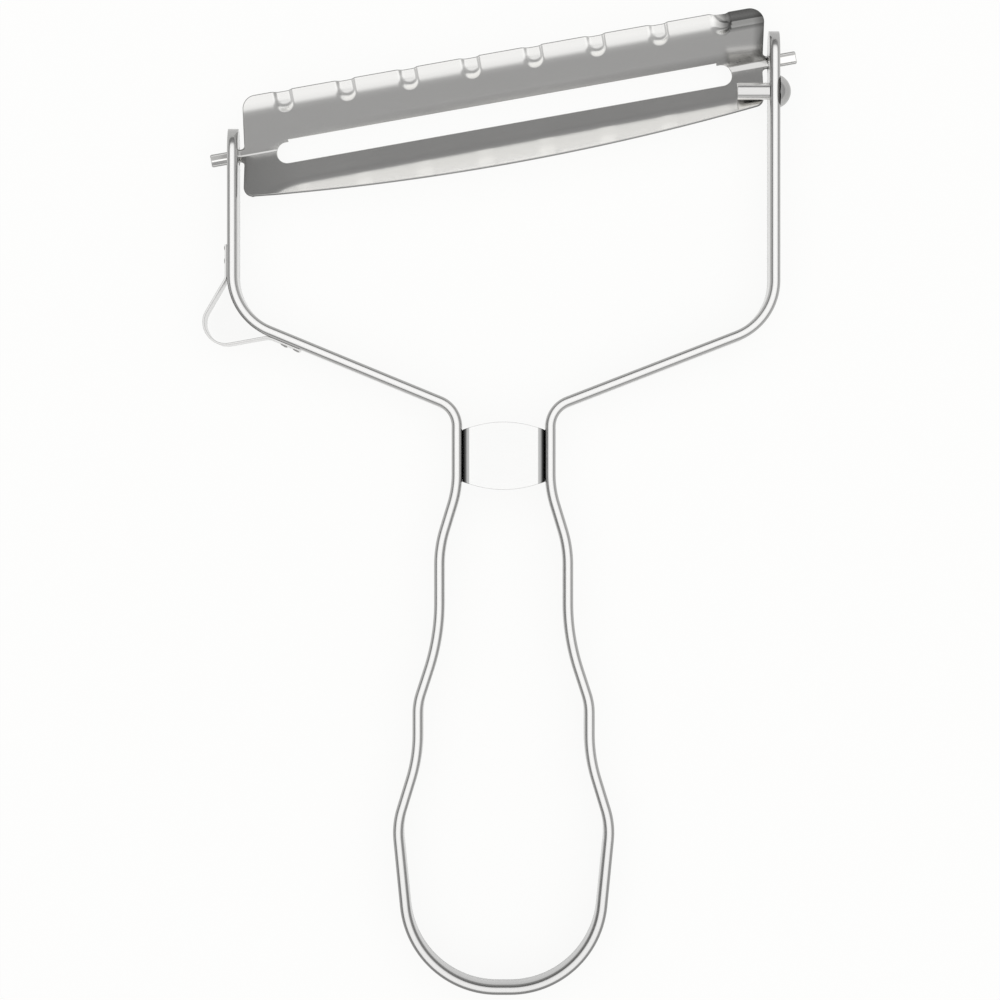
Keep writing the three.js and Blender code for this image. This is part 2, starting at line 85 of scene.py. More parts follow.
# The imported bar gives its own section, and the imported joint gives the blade's pivot line
BAR_LOW, BAR_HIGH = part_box("frame")
PIVOT = Vector(frame["joints"][0]["pos_m"])
PIVOT_AXIS = Vector(frame["joints"][0]["axis"])
LEAN = math.atan2(PIVOT_AXIS.y, PIVOT_AXIS.x)
BAR_THICKNESS = -2 * BAR_LOW.y / MM
BAR_DEPTH = BAR_HIGH.z / MM
ARM_HALF = BAR_HIGH.x / MM - BAR_THICKNESS / 2

# Angles over which an edge stays sharp, on thick pieces and on sheet
THICK_SHARP = math.radians(35)
SHEET_SHARP = math.radians(40)

# Grain and smudges of the steel: shares of its tint and roughness, smudges in a metre, relief
GRAIN_TINT = 0.93
GRAIN_ROUGHNESS = 0.25
SMUDGE_ROUGHNESS = 0.15
SMUDGE_SCALE = 120.0
RELIEF_DEPTH = 0.02 * MM

# Brightness of the room by its tilt from overhead, in degrees, below zero toward the handle
ROOM_LEVELS = {
    -180: 0.5, -110: 0.5, -70: 0.47, -54: 0.5, -46: 1.1, 46: 1.1, 53.5: 0.3, 110: 0.27, 150: 0.5,
}


def length(name, description, default):
    """Size property in metres, with its default written in millimetres"""
    return FloatProperty(
        name=name,
        description=description,
        default=default * MM,
        unit="LENGTH",
        subtype="DISTANCE",
        precision=5,
    )


def angle(name, description, default):
    """Angle property, with its default written in degrees"""
    return FloatProperty(
        name=name, description=description, default=math.radians(default), subtype="ANGLE"
    )


def bend(name, half, height, radius):
    """Bend of the bar: the point where two straight runs cross, and the radius between them"""
    return FloatVectorProperty(
        name=name,
        description="Distance from the middle, height over the loop's foot and bend radius",
        default=(half * MM, height * MM, radius * MM),
        size=3,
        unit="LENGTH",
        precision=5,
    )


def place(name, description, default):
    """Place property in metres, with its default written in millimetres"""
    return FloatVectorProperty(
        name=name,
        description=description,
        default=[part * MM for part in default],
        subtype="XYZ",
        unit="LENGTH",
        precision=5,
    )


def number(name, description, default):
    """Whole number property, for steps and for like things"""
    return IntProperty(name=name, description=description, default=default, min=1)


def brightness(name, description, default):
    """Share of full brightness"""
    return FloatProperty(
        name=name, description=description, default=default, subtype="FACTOR", min=0.0, max=1.5
    )


def colour(name, description, default):
    """Colour property"""
    return FloatVectorProperty(
        name=name, description=description, default=default, subtype="COLOR", min=0.0, max=1.0
    )


class BarSizes(PropertyGroup):
    """Flat bar that makes the handle loop, the waist, the shoulders and the arms"""

    thickness: length("Thickness", "Thickness of the bar", BAR_THICKNESS)
    depth: length("Depth", "Depth of the bar from front to back", BAR_DEPTH)
    edge_radius: length("Edge radius", "Rounding of the bar's long edges", 0.95)
    loop_foot: bend("Foot of the loop", 17.35, 0.0, 17.8)
    loop_side: bend("Side of the loop", 20.5, 31.7, 15.0)
    middle_low: bend("Low middle", 16.53, 44.7, 30.0)
    middle_high: bend("High middle", 16.53, 55.0, 12.0)
    narrow_low: bend("Low neck", 12.38, 67.8, 42.0)
    narrow_high: bend("High neck", 12.38, 85.1, 23.0)
    waist_low: bend("Low waist", 9.0, 96.2, 20.0)
    waist_high: bend("High waist", 9.0, 111.8, 5.2)
    left_rise: angle("Left rise", "Slope of the left shoulder", 22.4)
    right_rise: angle("Right rise", "Slope of the right shoulder", 21.2)
    shoulder_bend: length("Shoulder bend", "Bend between shoulder and arm", 11.5)
    arm_half: length("Arm distance", "Distance of each arm from the middle", ARM_HALF)
    left_lug: length("Left lug", "Length of the left arm beyond the pivot line", 5.3)
    right_lug: length("Right lug", "Length of the right arm beyond the pivot line", 5.9)
    pivot_hole: length("Pivot hole", "Radius of the holes that hold the blade's tabs", 1.78)
    rivet_hole: length("Rivet hole", "Radius of the hole for the stop pin's shank", 1.4)
    bend_steps: number("Bend steps", "Steps in each bend", 28)
    edge_steps: number("Edge steps", "Steps in each rounded edge", 6)
    lug_turn: angle("Lug turn", "Part of a quarter circle that a lug's end is drawn over", 86.0)
    lug_steps: number("Lug steps", "Steps in each lug's round end", 24)
    hole_sides: number("Hole sides", "Sides of a drilled hole", 64)


class BladeSizes(PropertyGroup):
    """Folded and slotted sheet, measured square to the pivot line"""

    half_length: length("Half length", "Half of the blade between the arms", 50.2)
    thickness: length("Thickness", "Thickness of the sheet", 0.5)
    edge_round: length("Edge rounding", "Rounding of the sheet's cut edges", 0.12)
    crease_setback: length("Crease setback", "Crease behind the pivot line", 0.45)
    crease_bend: length("Crease bend", "Half height of the crease at the blade's left end", 0.3)
    crease_growth: length("Crease growth", "Further half height at the right end", 0.6)
    upper_lean: angle("Upper lean", "Lean of the plate over the slot", 36.0)
    lower_lean: angle("Lower lean", "Lean of the plate under the slot", 26.0)
    rim_start: length("Rim start", "Height of the bend into the rim", 7.9)
    rim_lean: angle("Rim lean", "Lean of the rim", 19.0)
    rim_bend: length("Rim bend", "Half height of the bend into the rim", 1.3)
    rim_top: length("Rim top", "Height of the rim's edge", 10.5)
    corner_lean: angle("Corner lean", "Lean back of the rim beyond its last bead", 34.0)
    corner_start: length("Corner start", "Where the rim starts to lean back", 43.4)
    corner_blend: length("Corner blend", "Length over which the rim turns back", 1.4)
    corner_bend: length("Corner bend", "Half height of the bend into the turned corner", 0.7)
    lip_start: length("Lip start", "Drop of the bend into the lip", 7.2)
    lip_skew: FloatProperty(
        name="Lip skew", description="Slope of the lip's bend down to the left", default=0.008
    )
    lip_full: length("Lip run", "Straight run of the lip's bend left of the middle", 40.0)
    lip_turn: length("Lip turn", "Curve in which the lip's bend runs out to the left", 33.0)
    lip_lean: angle("Lip lean", "Lean of the lip", 43.0)
    lip_bend: length("Lip bend", "Half height of the bend into the lip", 0.9)
    lip_edge: length("Lip edge", "Drop of the lip's edge at the blade's ends", 8.2)
    lip_belly: length("Lip belly", "Bulge of the lip's edge at mid length", 2.9)
    top_corner: length("Top corner", "Corner radius of the rim", 2.7)
    bottom_corner: length("Bottom corner", "Corner radius of the lip", 1.8)
    slot_half: length("Slot half length", "Half length of the slot", 44.67)
    slot_lower: length("Slot lower edge", "Slot below the pivot line", 3.1)
    slot_upper: length("Slot upper edge", "Slot above the pivot line", 1.1)
    slot_end: length("Slot end radius", "Corner radius at the slot's ends", 2.0)
    ground_margin: length("Ground margin", "Unground edge at each end of the slot", 2.6)
    ground_depth: length("Ground depth", "Step of the ground cutting edge", 0.5)
    grind_width: length("Grind width", "Width of the ground bevel", 1.1)
    # Painted shade band along the blade's right end: its width
    right_end_shade_width: length("Side fade", "Width of the duller band along the right end", 2.2)
    # Painted shade band along the slot's upper edge: its width, its start and where it is full
    slot_edge_shade_width: length("Hone width", "Width of the duller band along the cutting edge", 1.7)
    slot_edge_shade_start: length("Hone start", "Start of that band, left of the middle", 35.7)
    slot_edge_shade_full: length("Hone full", "Where that band is full, left of the middle", 13.4)
    ground_edge: length("Ground edge", "Thickness left at the cutting edge", 0.12)
    tab_half: length("Tab half height", "Half height of the pivot tabs", 1.15)
    tab_reach: length("Tab reach", "Distance from the middle to a tab's tip", 57.57)
    tab_neck: length("Tab neck", "Fillet at the root of a tab", 0.7)
    tab_tip: length("Tab tip", "Corner radius at the tip of a tab", 0.3)
    bead_count: number("Beads", "Beads along the rim", 8)
    bead_pitch: length("Bead pitch", "Distance between beads", 12.2)
    bead_shift: length("Bead shift", "Row of beads left of the rim's middle", 0.65)
    bead_half: length("Bead half width", "Half width of a bead at its foot", 2.1)
    bead_height: length("Bead height", "Height of a bead over the rim", 0.5)
    bead_foot: length("Bead foot", "Height of a bead's lower end", 6.2)
    bead_slope: length("Bead slope", "Width of a bead's left and lower flank", 1.6)
    bead_step: length("Bead step", "Width of a bead's right flank", 0.5)
    bead_dip: length("Bead dip", "Dip in the rim's edge at a bead", 0.3)
    seat_lift: angle("Seat lift", "Lift of the right end in its hole, on the stop pin", 0.15)


class FittingSizes(PropertyGroup):
    """Waist plate, eye remover, stop pin and the weld marks"""

    pin_gap: length("Pin gap", "Gap between the stop pin and the blade at rest", 0.3)
    seam: length("Seam", "Hairline where a welded or riveted piece lies on the bar", 0.02)
    plate_thickness: length("Plate thickness", "Sheet of the waist plate", 0.5)
    plate_setback: length("Plate setback", "Waist plate behind the bar's front", 0.4)
    plate_flange: length("Plate flange", "Depth of the waist plate's flanges", 5.5)
    plate_bend: length("Plate bend", "Bend radius of the flanges", 1.1)
    plate_length: length("Plate length", "Waist plate along the handle, at its flanks", 9.0)
    plate_crown: length("Plate crown", "Bulge of the waist plate's ends", 2.05)
    plate_drop: length("Plate drop", "Waist plate below the middle of the waist", 1.35)
    plate_margin: length("Plate margin", "End of the flat face inside the flange's middle", 1.32)
    # Painted shade: width of the dark band along the flanges
    plate_painted_shade: length("Plate shade", "Width of the dark band along the flanges", 1.43)
    plate_steps: number("Plate steps", "Steps across the waist plate's crown", 24)
    sheet_steps: number("Sheet steps", "Steps in each rounded edge of thin sheet", 3)
    eye_thickness: length("Strip thickness", "Thickness of the eye remover's strip", 0.4)
    eye_width: length("Strip width", "Width of the eye remover's strip", 8.0)
    eye_arm_top: length("Strip top", "Strip above the shoulder's corner", 13.7)
    eye_arm_foot: length("Strip bend height", "Where the strip leaves the arm", 7.3)
    eye_arm_bend: length("Strip upper bend", "Bend where the strip leaves the arm", 1.6)
    eye_nose_out: length("Nose reach", "Nose of the loop outside the arm", 6.3)
    eye_nose_drop: length("Nose drop", "Nose of the loop below the shoulder's corner", 1.4)
    eye_heel_out: length("Heel reach", "Heel of the loop outside the arm", 3.2)
    eye_heel_drop: length("Heel drop", "Heel of the loop below the shoulder's corner", 5.9)
    eye_nose_bend: length("Nose radius", "Radius of the loop's round end", 4.1)
    eye_return: length("Strip return", "Where the strip meets the shoulder again", 7.8)
    eye_return_bend: length("Strip lower bend", "Bend where the strip meets the shoulder", 3.0)
    eye_seat: length("Strip seat", "Length of strip welded to the shoulder", 6.6)
    eye_steps: number("Strip steps", "Steps in each bend of the strip", 24)
    pin_drop: length("Pin drop", "Stop pin below the pivot line", 6.0)
    pin_reach: length("Pin reach", "Length of the stop pin inside the arm", 6.3)
    pin_radius: length("Pin radius", "Radius of the stop pin's barrel", 1.65)
    pin_round: length("Pin rounding", "Rounding of the stop pin's end", 0.25)
    shank_radius: length("Shank radius", "Radius of the stop pin in the arm", 1.1)
    head_radius: length("Head radius", "Radius of the stop pin's domed head", 3.1)
    head_height: length("Head height", "Height of the stop pin's domed head", 2.1)
    head_steps: number("Head steps", "Steps from the head's rim to its crown", 24)
    pin_steps: number("Pin steps", "Steps in the rounding of the stop pin's end", 6)
    pin_sides: number("Pin sides", "Sides of the stop pin", 96)
    weld_radius: length("Weld radius", "Radius of a spot weld on the strip", 0.6)
    weld_height: length("Weld height", "Height of a spot weld over the strip", 0.22)
    weld_spacing: length("Weld spacing", "Distance between the spot welds", 2.5)
    weld_start: length("Weld start", "First spot weld from the end of the strip", 0.625)
    weld_back: length("Weld back row", "Back row of welds over the bar's back", 3.0)
    weld_front: length("Weld front row", "Front row of welds over the bar's back", 8.0)
    weld_seed: IntProperty(name="Weld seed", description="Draw of the weld sizes", default=4)


class FinishColours(PropertyGroup):
    """Steel colours, painted light and shade on the blade, and the light and backdrop around the peeler
    """

    bar: colour("Bar", "Polished bar", (0.98, 0.975, 0.965))
    blade: colour("Blade", "Satin blade sheet", (0.8, 0.795, 0.78))
    plate: colour("Waist plate", "Bright waist plate", (0.9, 0.9, 0.893))
    strip: colour("Strip", "Eye remover strip", (0.95, 0.945, 0.935))
    weld: colour("Weld", "Spot welds", (0.3, 0.297, 0.292))
    pin: colour("Pin", "Stop pin", (0.75, 0.744, 0.735))
    backdrop: colour("Backdrop", "Floor and backdrop", (1.0, 1.0, 0.993))
    # Painted light and shade on the blade, as shares of its colour; only the ground edge's share is the
    # grind's own brightness
    plain_painted_light: brightness("Plain shine", "Brightness of the blade's two plates", 0.87)
    rim_painted_light: brightness("Rim shine", "Brightness of the blade's rim", 1.04)
    corner_painted_shade: brightness("Corner shine", "Brightness of the rim's turned corner", 0.33)
    corner_bend_painted_shade: brightness("Corner dim", "Brightness lost in the bend under that corner", 0.6)
    fold_painted_shade: brightness("Fold dim", "Brightness lost on the last bead, beside that corner", 0.75)
    right_end_painted_shade: brightness("Side dim", "Brightness lost at the blade's right end", 0.6)
    lip_painted_light: brightness("Lip shine", "Brightness of the blade's lip", 1.25)
    tab_painted_light: brightness("Tab shine", "Brightness of the pivot tabs", 1.25)
    edge_painted_shade: brightness("Edge shine", "Brightness of the blade's cut edge", 0.4)
    ground_shine: brightness("Ground shine", "Brightness of the ground edge", 1.0)
    slot_edge_painted_shade: brightness("Hone shine", "Brightness of the plate along the cutting edge", 0.62)
    left_end_painted_shade: brightness("End shine", "Brightness of the lower plate's left end", 0.8)
    flank_painted_light: brightness("Flank gain", "Share of brightness gained on a bead's flanks", 0.21)
    floor_glow: brightness("Floor glow", "Share of the backdrop in the floor, under a faint shadow", 0.9)
    flank_left: brightness("Left flank", "Brightness of the room to the left", 0.33)
    flank_right: brightness("Right flank", "Brightness of the room to the right", 0.58)


class StageSizes(PropertyGroup):
    """Floor, soft box and camera"""

    floor_half: length("Floor", "Half of the floor's side", 4000.0)
    floor_drop: length("Floor drop", "Floor under the peeler's back", 0.05)
    flank_start: angle("Flank start", "Lean from overhead where the flanks start", 38.0)
    flank_full: angle("Flank full", "Lean from overhead where the flanks are full", 60.0)
    horizon_top: angle("Horizon top", "Height over the floor where the backdrop starts", 11.0)
    horizon_full: angle("Horizon full", "Height over the floor where it is full", 8.0)
    camera_place: place("Camera", "Place of the camera over the peeler", (-0.7, 94.15, 750.0))
    lens: FloatProperty(name="Lens", description="Focal length", default=138.75, unit="CAMERA")
    sensor: FloatProperty(name="Sensor", description="Sensor's width", default=36.0, unit="CAMERA")


SIZE_GROUPS = {
    "peeler_bar": BarSizes,
    "peeler_blade": BladeSizes,
    "peeler_fittings": FittingSizes,
    "peeler_finish": FinishColours,
    "peeler_stage": StageSizes,
}


class NodeMaker:
    """Adds nodes to a tree and joins them"""

    def __init__(self, tree):
        self.tree = tree

    def add(self, kind, feeds=None, **settings):
        """New node with its settings, its inputs fed by values or by other nodes' outputs"""
        node = self.tree.nodes.new(kind)
        for name, value in settings.items():
            setattr(node, name, value)
        for socket, value in (feeds or {}).items():
            if isinstance(value, bpy.types.NodeSocket):
                self.tree.links.new(value, node.inputs[socket])
            else:
                node.inputs[socket].default_value = value
        return node

    def math(self, operation, *values):
        """Output of a math node"""
        feeds = dict(enumerate(values))
        return self.add("ShaderNodeMath", feeds, operation=operation).outputs[0]

    def parts(self, vector):
        """X, Y and Z of a vector"""
        return self.add("ShaderNodeSeparateXYZ", {0: vector}).outputs

    def vector(self, **parts):
        """Vector of X, Y and Z"""
        return self.add("ShaderNodeCombineXYZ", parts).outputs[0]

    def span(self, value, low, high, to_low=0.0, to_high=1.0, blend="LINEAR"):
        """Value carried from one span to another and held at its ends"""
        feeds = {"Value": value, "From Min": low, "From Max": high, "To Min": to_low, "To Max": to_high}
        return self.add("ShaderNodeMapRange", feeds, interpolation_type=blend).outputs[0]

    def blend(self, share, first, second, blend_type="MIX"):
        """Colour between two others"""
        feeds = {0: share, 6: first, 7: second}
        return self.add("ShaderNodeMix", feeds, data_type="RGBA", blend_type=blend_type).outputs[2]

    def attribute(self, name):
        """Attribute of the mesh that a material reads"""
        return self.add("ShaderNodeAttribute", attribute_name=name).outputs["Fac"]

    def levels(self, value, stops):
        """Grey between the levels that a value has at its stops"""
        node = self.add("ShaderNodeValToRGB", {"Fac": value})
        elements = node.color_ramp.elements
        while len(elements) < len(stops):
            elements.new(0.5)
        for element, (position, level) in zip(elements, stops.items()):
            element.position = position
            element.color = (level, level, level, 1.0)
        return node.outputs[0]


class TreeMaker(NodeMaker):
    """Geometry tree with named inputs, which ends in real instances and a material"""

    def __init__(self, name, **inputs):
        super().__init__(bpy.data.node_groups.new(name, "GeometryNodeTree"))
        for kind, names in {"Geometry": ["Geometry"], **inputs, "Material": ["Material"]}.items():
            for socket in names:
                self.tree.interface.new_socket(socket, in_out="INPUT", socket_type=f"NodeSocket{kind}")
        self.tree.interface.new_socket("Geometry", in_out="OUTPUT", socket_type="NodeSocketGeometry")
        self.given = self.add("NodeGroupInput").outputs

    def named(self, name, data_type="FLOAT"):
        """Attribute of the mesh by its name"""
        feeds = {"Name": name}
        return self.add("GeometryNodeInputNamedAttribute", feeds, data_type=data_type).outputs[0]

    def store(self, geometry, name, value):
        """Geometry with a value kept on its points by name"""
        feeds = {"Geometry": geometry, "Name": name, "Value": value}
        node = self.add("GeometryNodeStoreNamedAttribute", feeds, data_type="FLOAT", domain="POINT")
        return node.outputs[0]

    def fillet(self, curve, steps, radius):
        """Curve with its corners rounded"""
        feeds = {"Curve": curve, "Count": steps, "Radius": radius, "Limit Radius": True}
        return self.add("GeometryNodeFilletCurve", feeds, mode="POLY").outputs[0]

    def close(self, geometry):
        """Tree, ended: instances made real, material set"""
        real = self.add("GeometryNodeRealizeInstances", {"Geometry": geometry})
        feeds = {"Geometry": real.outputs[0], "Material": self.given["Material"]}
        dressed = self.add("GeometryNodeSetMaterial", feeds)
        self.add("NodeGroupOutput", {"Geometry": dressed.outputs[0]})
        return self.tree


def run_trees(mesh, finish, steps):
    """Plain mesh in one finish that a row of trees makes of a mesh, each with its named sizes"""
    worker = bpy.data.objects.new("worker", mesh)
    bpy.context.scene.collection.objects.link(worker)
    for tree, sizes in steps:
        values = {**sizes, "Material": finish}
        modifier = worker.modifiers.new(tree.name, "NODES")
        modifier.node_group = tree
        for socket in tree.interface.items_tree:
            if socket.in_out == "INPUT" and socket.name in values:
                modifier[socket.identifier] = values[socket.name]
    depsgraph = bpy.context.evaluated_depsgraph_get()
    made = bpy.data.meshes.new_from_object(worker.evaluated_get(depsgraph))
    worker.modifiers.clear()
    bpy.data.objects.remove(worker)
    return made


def bent_strip_tree():
    """Tree that sweeps a rounded strip along a path, with a bend at each of its points"""
    maker = TreeMaker(
        "Bent strip", Float=["Thickness", "Depth", "Edge Radius"], Int=["Bend Steps", "Edge Steps"]
    )
    given = maker.given
    line = maker.add("GeometryNodeMeshToCurve", {"Mesh": given["Geometry"]})
    path = maker.fillet(line.outputs[0], given["Bend Steps"], maker.named("bend"))
    upright = maker.add("GeometryNodeSetCurveNormal", {"Curve": path}, mode="Z_UP")
    way = maker.add("GeometryNodeSplineParameter").outputs["Length"]
    marked = maker.store(upright.outputs[0], "way", way)
    plain = maker.add("GeometryNodeCurvePrimitiveQuadrilateral", {
        "Width": given["Thickness"], "Height": given["Depth"],
    })
    section = maker.fillet(plain.outputs[0], given["Edge Steps"], given["Edge Radius"])
    section = maker.store(section, "girth", way)
    spot = maker.parts(maker.add("GeometryNodeInputPosition").outputs[0])
    half = maker.math("MULTIPLY", given["Depth"], 0.5)
    flat = maker.math("SUBTRACT", half, given["Edge Radius"])
    section = maker.store(section, "level", maker.span(maker.math("ABSOLUTE", spot["Y"]), flat, half))
    swept = maker.add("GeometryNodeCurveToMesh", {
        "Curve": marked, "Profile Curve": section, "Fill Caps": True,
    })
    share = maker.named("share")
    shaped = maker.add("GeometryNodeSetPosition", {
        "Geometry": swept.outputs[0],
        "Position": maker.vector(X=spot["X"], Y=spot["Y"], Z=maker.math("MULTIPLY", spot["Z"], share)),
    })
    front = maker.math("MULTIPLY", maker.named("level"), share)
    return maker.close(maker.store(shaped.outputs[0], "level", front))


def drill_tree():
    """Tree that drills a round hole along a turned X axis"""
    maker = TreeMaker("Drill", Float=["Radius", "Length", "Turn"], Int=["Sides"], Vector=["Place"])
    given = maker.given
    drill = maker.add("GeometryNodeMeshCylinder", {
        "Vertices": given["Sides"], "Radius": given["Radius"], "Depth": given["Length"],
    })
    placed = maker.add("GeometryNodeTransform", {
        "Geometry": drill.outputs["Mesh"],
        "Translation": given["Place"],
        "Rotation": maker.vector(Y=math.pi / 2, Z=given["Turn"]),
    })
    cut = maker.add("GeometryNodeMeshBoolean", operation="DIFFERENCE", solver="EXACT")
    maker.tree.links.new(given["Geometry"], cut.inputs["Mesh 1"])
    maker.tree.links.new(placed.outputs[0], cut.inputs["Mesh 2"])
    return maker.close(cut.outputs["Mesh"])


def bead_tree():
    """Tree that presses a row of round-footed beads into the rim of a flat-lying blade, and paints a
    highlight on their flanks
    """
    maker = TreeMaker("Press beads", Int=["Count"], Float=[
        "Pitch", "Middle", "Half Width", "Height", "Foot", "Slope", "Step", "Dip",
        "Rim Top", "Flank Painted Light",
    ])
    given, formula = maker.given, maker.math
    spot = maker.parts(maker.add("GeometryNodeInputPosition").outputs[0])
    along, up = spot["X"], spot["Y"]
    last = formula("SUBTRACT", given["Count"], 1)
    half_row = formula("MULTIPLY", formula("MULTIPLY", last, 0.5), given["Pitch"])
    first = formula("SUBTRACT", given["Middle"], half_row)
    nearest = formula("ROUND", formula("DIVIDE", formula("SUBTRACT", along, first), given["Pitch"]))
    nearest = formula("MINIMUM", formula("MAXIMUM", nearest, 0.0), last)
    aside = formula("SUBTRACT", along, formula("MULTIPLY_ADD", nearest, given["Pitch"], first))
    knee = formula("ADD", given["Foot"], given["Half Width"])
    below = formula("MAXIMUM", formula("SUBTRACT", knee, up), 0.0)
    away = formula("SQRT", formula("MULTIPLY_ADD", aside, aside, formula("MULTIPLY", below, below)))
    depth = formula("SUBTRACT", given["Half Width"], away)
    flank = maker.span(aside, 0.0, given["Half Width"], given["Slope"], given["Step"])
    lift = maker.span(depth, 0.0, flank, 0.0, given["Height"], blend="SMOOTHSTEP")
    share = formula("DIVIDE", lift, given["Height"])
    near_top = maker.span(up, knee, given["Rim Top"])
    drop = formula("MULTIPLY", formula("MULTIPLY", share, near_top), given["Dip"])
    # Painted highlight on the beads' flanks, added to the painted light kept on the points
    flanks = formula("MULTIPLY", formula("MULTIPLY", share, formula("SUBTRACT", 1.0, share)), 4.0)
    flank_highlight = formula("MULTIPLY_ADD", flanks, given["Flank Painted Light"], 1.0)
    with_flank_highlight = maker.store(given["Geometry"], "painted_light", formula("MULTIPLY", flank_highlight, maker.named("painted_light")))
    pressed = maker.add("GeometryNodeSetPosition", {
        "Geometry": with_flank_highlight, "Offset": maker.vector(Y=formula("MULTIPLY", drop, -1.0), Z=lift),
    })
    return maker.close(pressed.outputs[0])


def weld_tree():
    """Tree that sets a low round spot weld on each point, flat against the strip"""
    maker = TreeMaker("Spot welds", Float=["Radius", "Height"], Int=["Seed"])
    given = maker.given
    ball = maker.add("GeometryNodeMeshIcoSphere", {"Radius": given["Radius"], "Subdivisions": 4})
    flat = maker.math("DIVIDE", given["Height"], given["Radius"])
    low = maker.add("GeometryNodeTransform", {
        "Geometry": ball.outputs[0], "Scale": maker.vector(X=1.0, Y=1.0, Z=flat),
    })
    outward = maker.named("outward", "FLOAT_VECTOR")
    turn = maker.add("FunctionNodeAlignRotationToVector", {"Vector": outward}, axis="Z")
    smallest, largest = (0.8, 0.8, 0.8), (1.2, 1.2, 1.2)
    size = maker.add("FunctionNodeRandomValue", {
        "Min": smallest, "Max": largest, "Seed": given["Seed"],
    }, data_type="FLOAT_VECTOR")
    spots = maker.add("GeometryNodeInstanceOnPoints", {
        "Points": given["Geometry"],
        "Instance": low.outputs[0],
        "Rotation": turn.outputs[0],
        "Scale": size.outputs[0],
    })
    return maker.close(spots.outputs[0])


def steel(name, tint, roughness, coordinates, grain, relief, painted_shade=None):
    """Brushed stainless steel: grain lines, slow smudges, a faint relief, and painted light and shade
    multiplied into its colour
    """
    material = bpy.data.materials.new(name)
    material.use_nodes = True
    tree = material.node_tree
    maker = NodeMaker(tree)
    shader = tree.nodes["Principled BSDF"]
    shader.inputs["Metallic"].default_value = 1.0
    where = coordinates(maker)
    stretched = maker.add("ShaderNodeVectorMath", {0: where, 1: grain}, operation="MULTIPLY")
    lines = maker.add("ShaderNodeTexNoise", {
        "Vector": stretched.outputs[0], "Scale": 1.0, "Detail": 3.0, "Roughness": 0.6,
    }).outputs["Fac"]
    smudges = maker.add("ShaderNodeTexNoise", {
        "Vector": where, "Scale": SMUDGE_SCALE, "Detail": 2.0,
    }).outputs["Fac"]
    dull_tint = [GRAIN_TINT * part for part in tint]
    colours = maker.blend(lines, (*dull_tint, 1.0), (*tint, 1.0))
    # Painted light and shade, multiplied into the base colour
    if painted_shade:
        colours = maker.blend(1.0, colours, painted_shade(maker), "MULTIPLY")
    grainy, smudgy = GRAIN_ROUGHNESS * roughness, SMUDGE_ROUGHNESS * roughness
    fine = maker.span(lines, 0.0, 1.0, roughness - grainy, roughness + grainy)
    slow = maker.span(smudges, 0.0, 1.0, -smudgy, smudgy)
    bump = maker.add("ShaderNodeBump", {
        "Height": lines, "Strength": relief, "Distance": RELIEF_DEPTH,
    })
    tree.links.new(colours, shader.inputs["Base Color"])
    tree.links.new(maker.math("ADD", fine, slow), shader.inputs["Roughness"])
    tree.links.new(bump.outputs[0], shader.inputs["Normal"])
    return material


def drawn_coordinates(maker):
    """Coordinates that follow a swept strip: its way along the path and its girth"""
    return maker.vector(X=maker.attribute("way"), Y=maker.attribute("girth"))


def blade_coordinates(maker):
    """Object coordinates turned so that X runs along the pivot line"""
    feeds = {"Vector": object_coordinates(maker), "Rotation": (0.0, 0.0, -LEAN)}
    return maker.add("ShaderNodeMapping", feeds).outputs[0]


def object_coordinates(maker):
    """Plain object coordinates"""
    return maker.add("ShaderNodeTexCoord").outputs["Object"]


def painted_light_shade(maker):
    """Painted light and shade that the mesh carries on its points"""
    return maker.attribute("painted_light")


def level_painted_shade(stops):
    """Painted shade that follows a strip's level, which rises from its flat sides to its edges"""
    def painted_shade(maker):
        return maker.levels(maker.attribute("level"), stops)
    return painted_shade


def height_painted_shade(low_stops, full_height, high_stops):
    """Painted shade that follows the level, with other stops at the loop's foot than at full height"""
    def painted_shade(maker):
        above = maker.span(maker.parts(object_coordinates(maker))["Y"], 0.0, full_height)
        return maker.blend(above, level_painted_shade(low_stops)(maker), level_painted_shade(high_stops)(maker))
    return painted_shade


def aside_painted_shade(start, end, stops):
    """Painted shade that changes between two distances from the middle"""
    def painted_shade(maker):
        aside = maker.math("ABSOLUTE", maker.parts(object_coordinates(maker))["X"])
        return maker.levels(maker.span(aside, start, end), stops)
    return painted_shade


def path_mesh(points):
    """Open path of edges, with a bend radius and a share of the strip's depth at each point"""
    mesh = bpy.data.meshes.new("path")
    mesh.from_pydata(
        [(x, y, 0.0) for x, y, _, _ in points],
        [(i, i + 1) for i in range(len(points) - 1)],
        [],
    )
    for name, column in (("bend", 2), ("share", 3)):
        attribute = mesh.attributes.new(name, "FLOAT", "POINT")
        attribute.data.foreach_set("value", [point[column] for point in points])
    return mesh


def smooth(mesh, sharp_angle):
    """Smooth shading with edges kept sharp beyond an angle"""
    mesh.shade_smooth()
    mesh.set_sharp_from_angle(angle=sharp_angle)


def show(name, mesh, node, stands_in=True):
    """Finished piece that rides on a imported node's body and, if it stands in for it, replaces it"""
    if not mesh.polygons:
        raise RuntimeError(f"{name} has no faces")
    piece = bpy.data.objects.new(name, mesh)
    bpy.context.scene.collection.objects.link(piece)
    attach(piece, frame["nodes"][node]["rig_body"])
    if stands_in:
        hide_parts(node)


def turned_mesh(name, outline, sides):
    """Closed mesh of an outline, distance along X and radius, turned about the X axis"""
    work = bmesh.new()
    verts = [work.verts.new((x, radius, 0.0)) for x, radius in outline]
    edges = [work.edges.new(pair) for pair in zip(verts, verts[1:])]
    bmesh.ops.spin(
        work, geom=verts + edges, cent=(0, 0, 0), axis=(1, 0, 0), angle=2 * math.pi, steps=sides,
    )
    bmesh.ops.remove_doubles(work, verts=work.verts, dist=1e-7)
    bmesh.ops.recalc_face_normals(work, faces=work.faces)
    mesh = bpy.data.meshes.new(name)
    work.to_mesh(mesh)
    work.free()
    return mesh


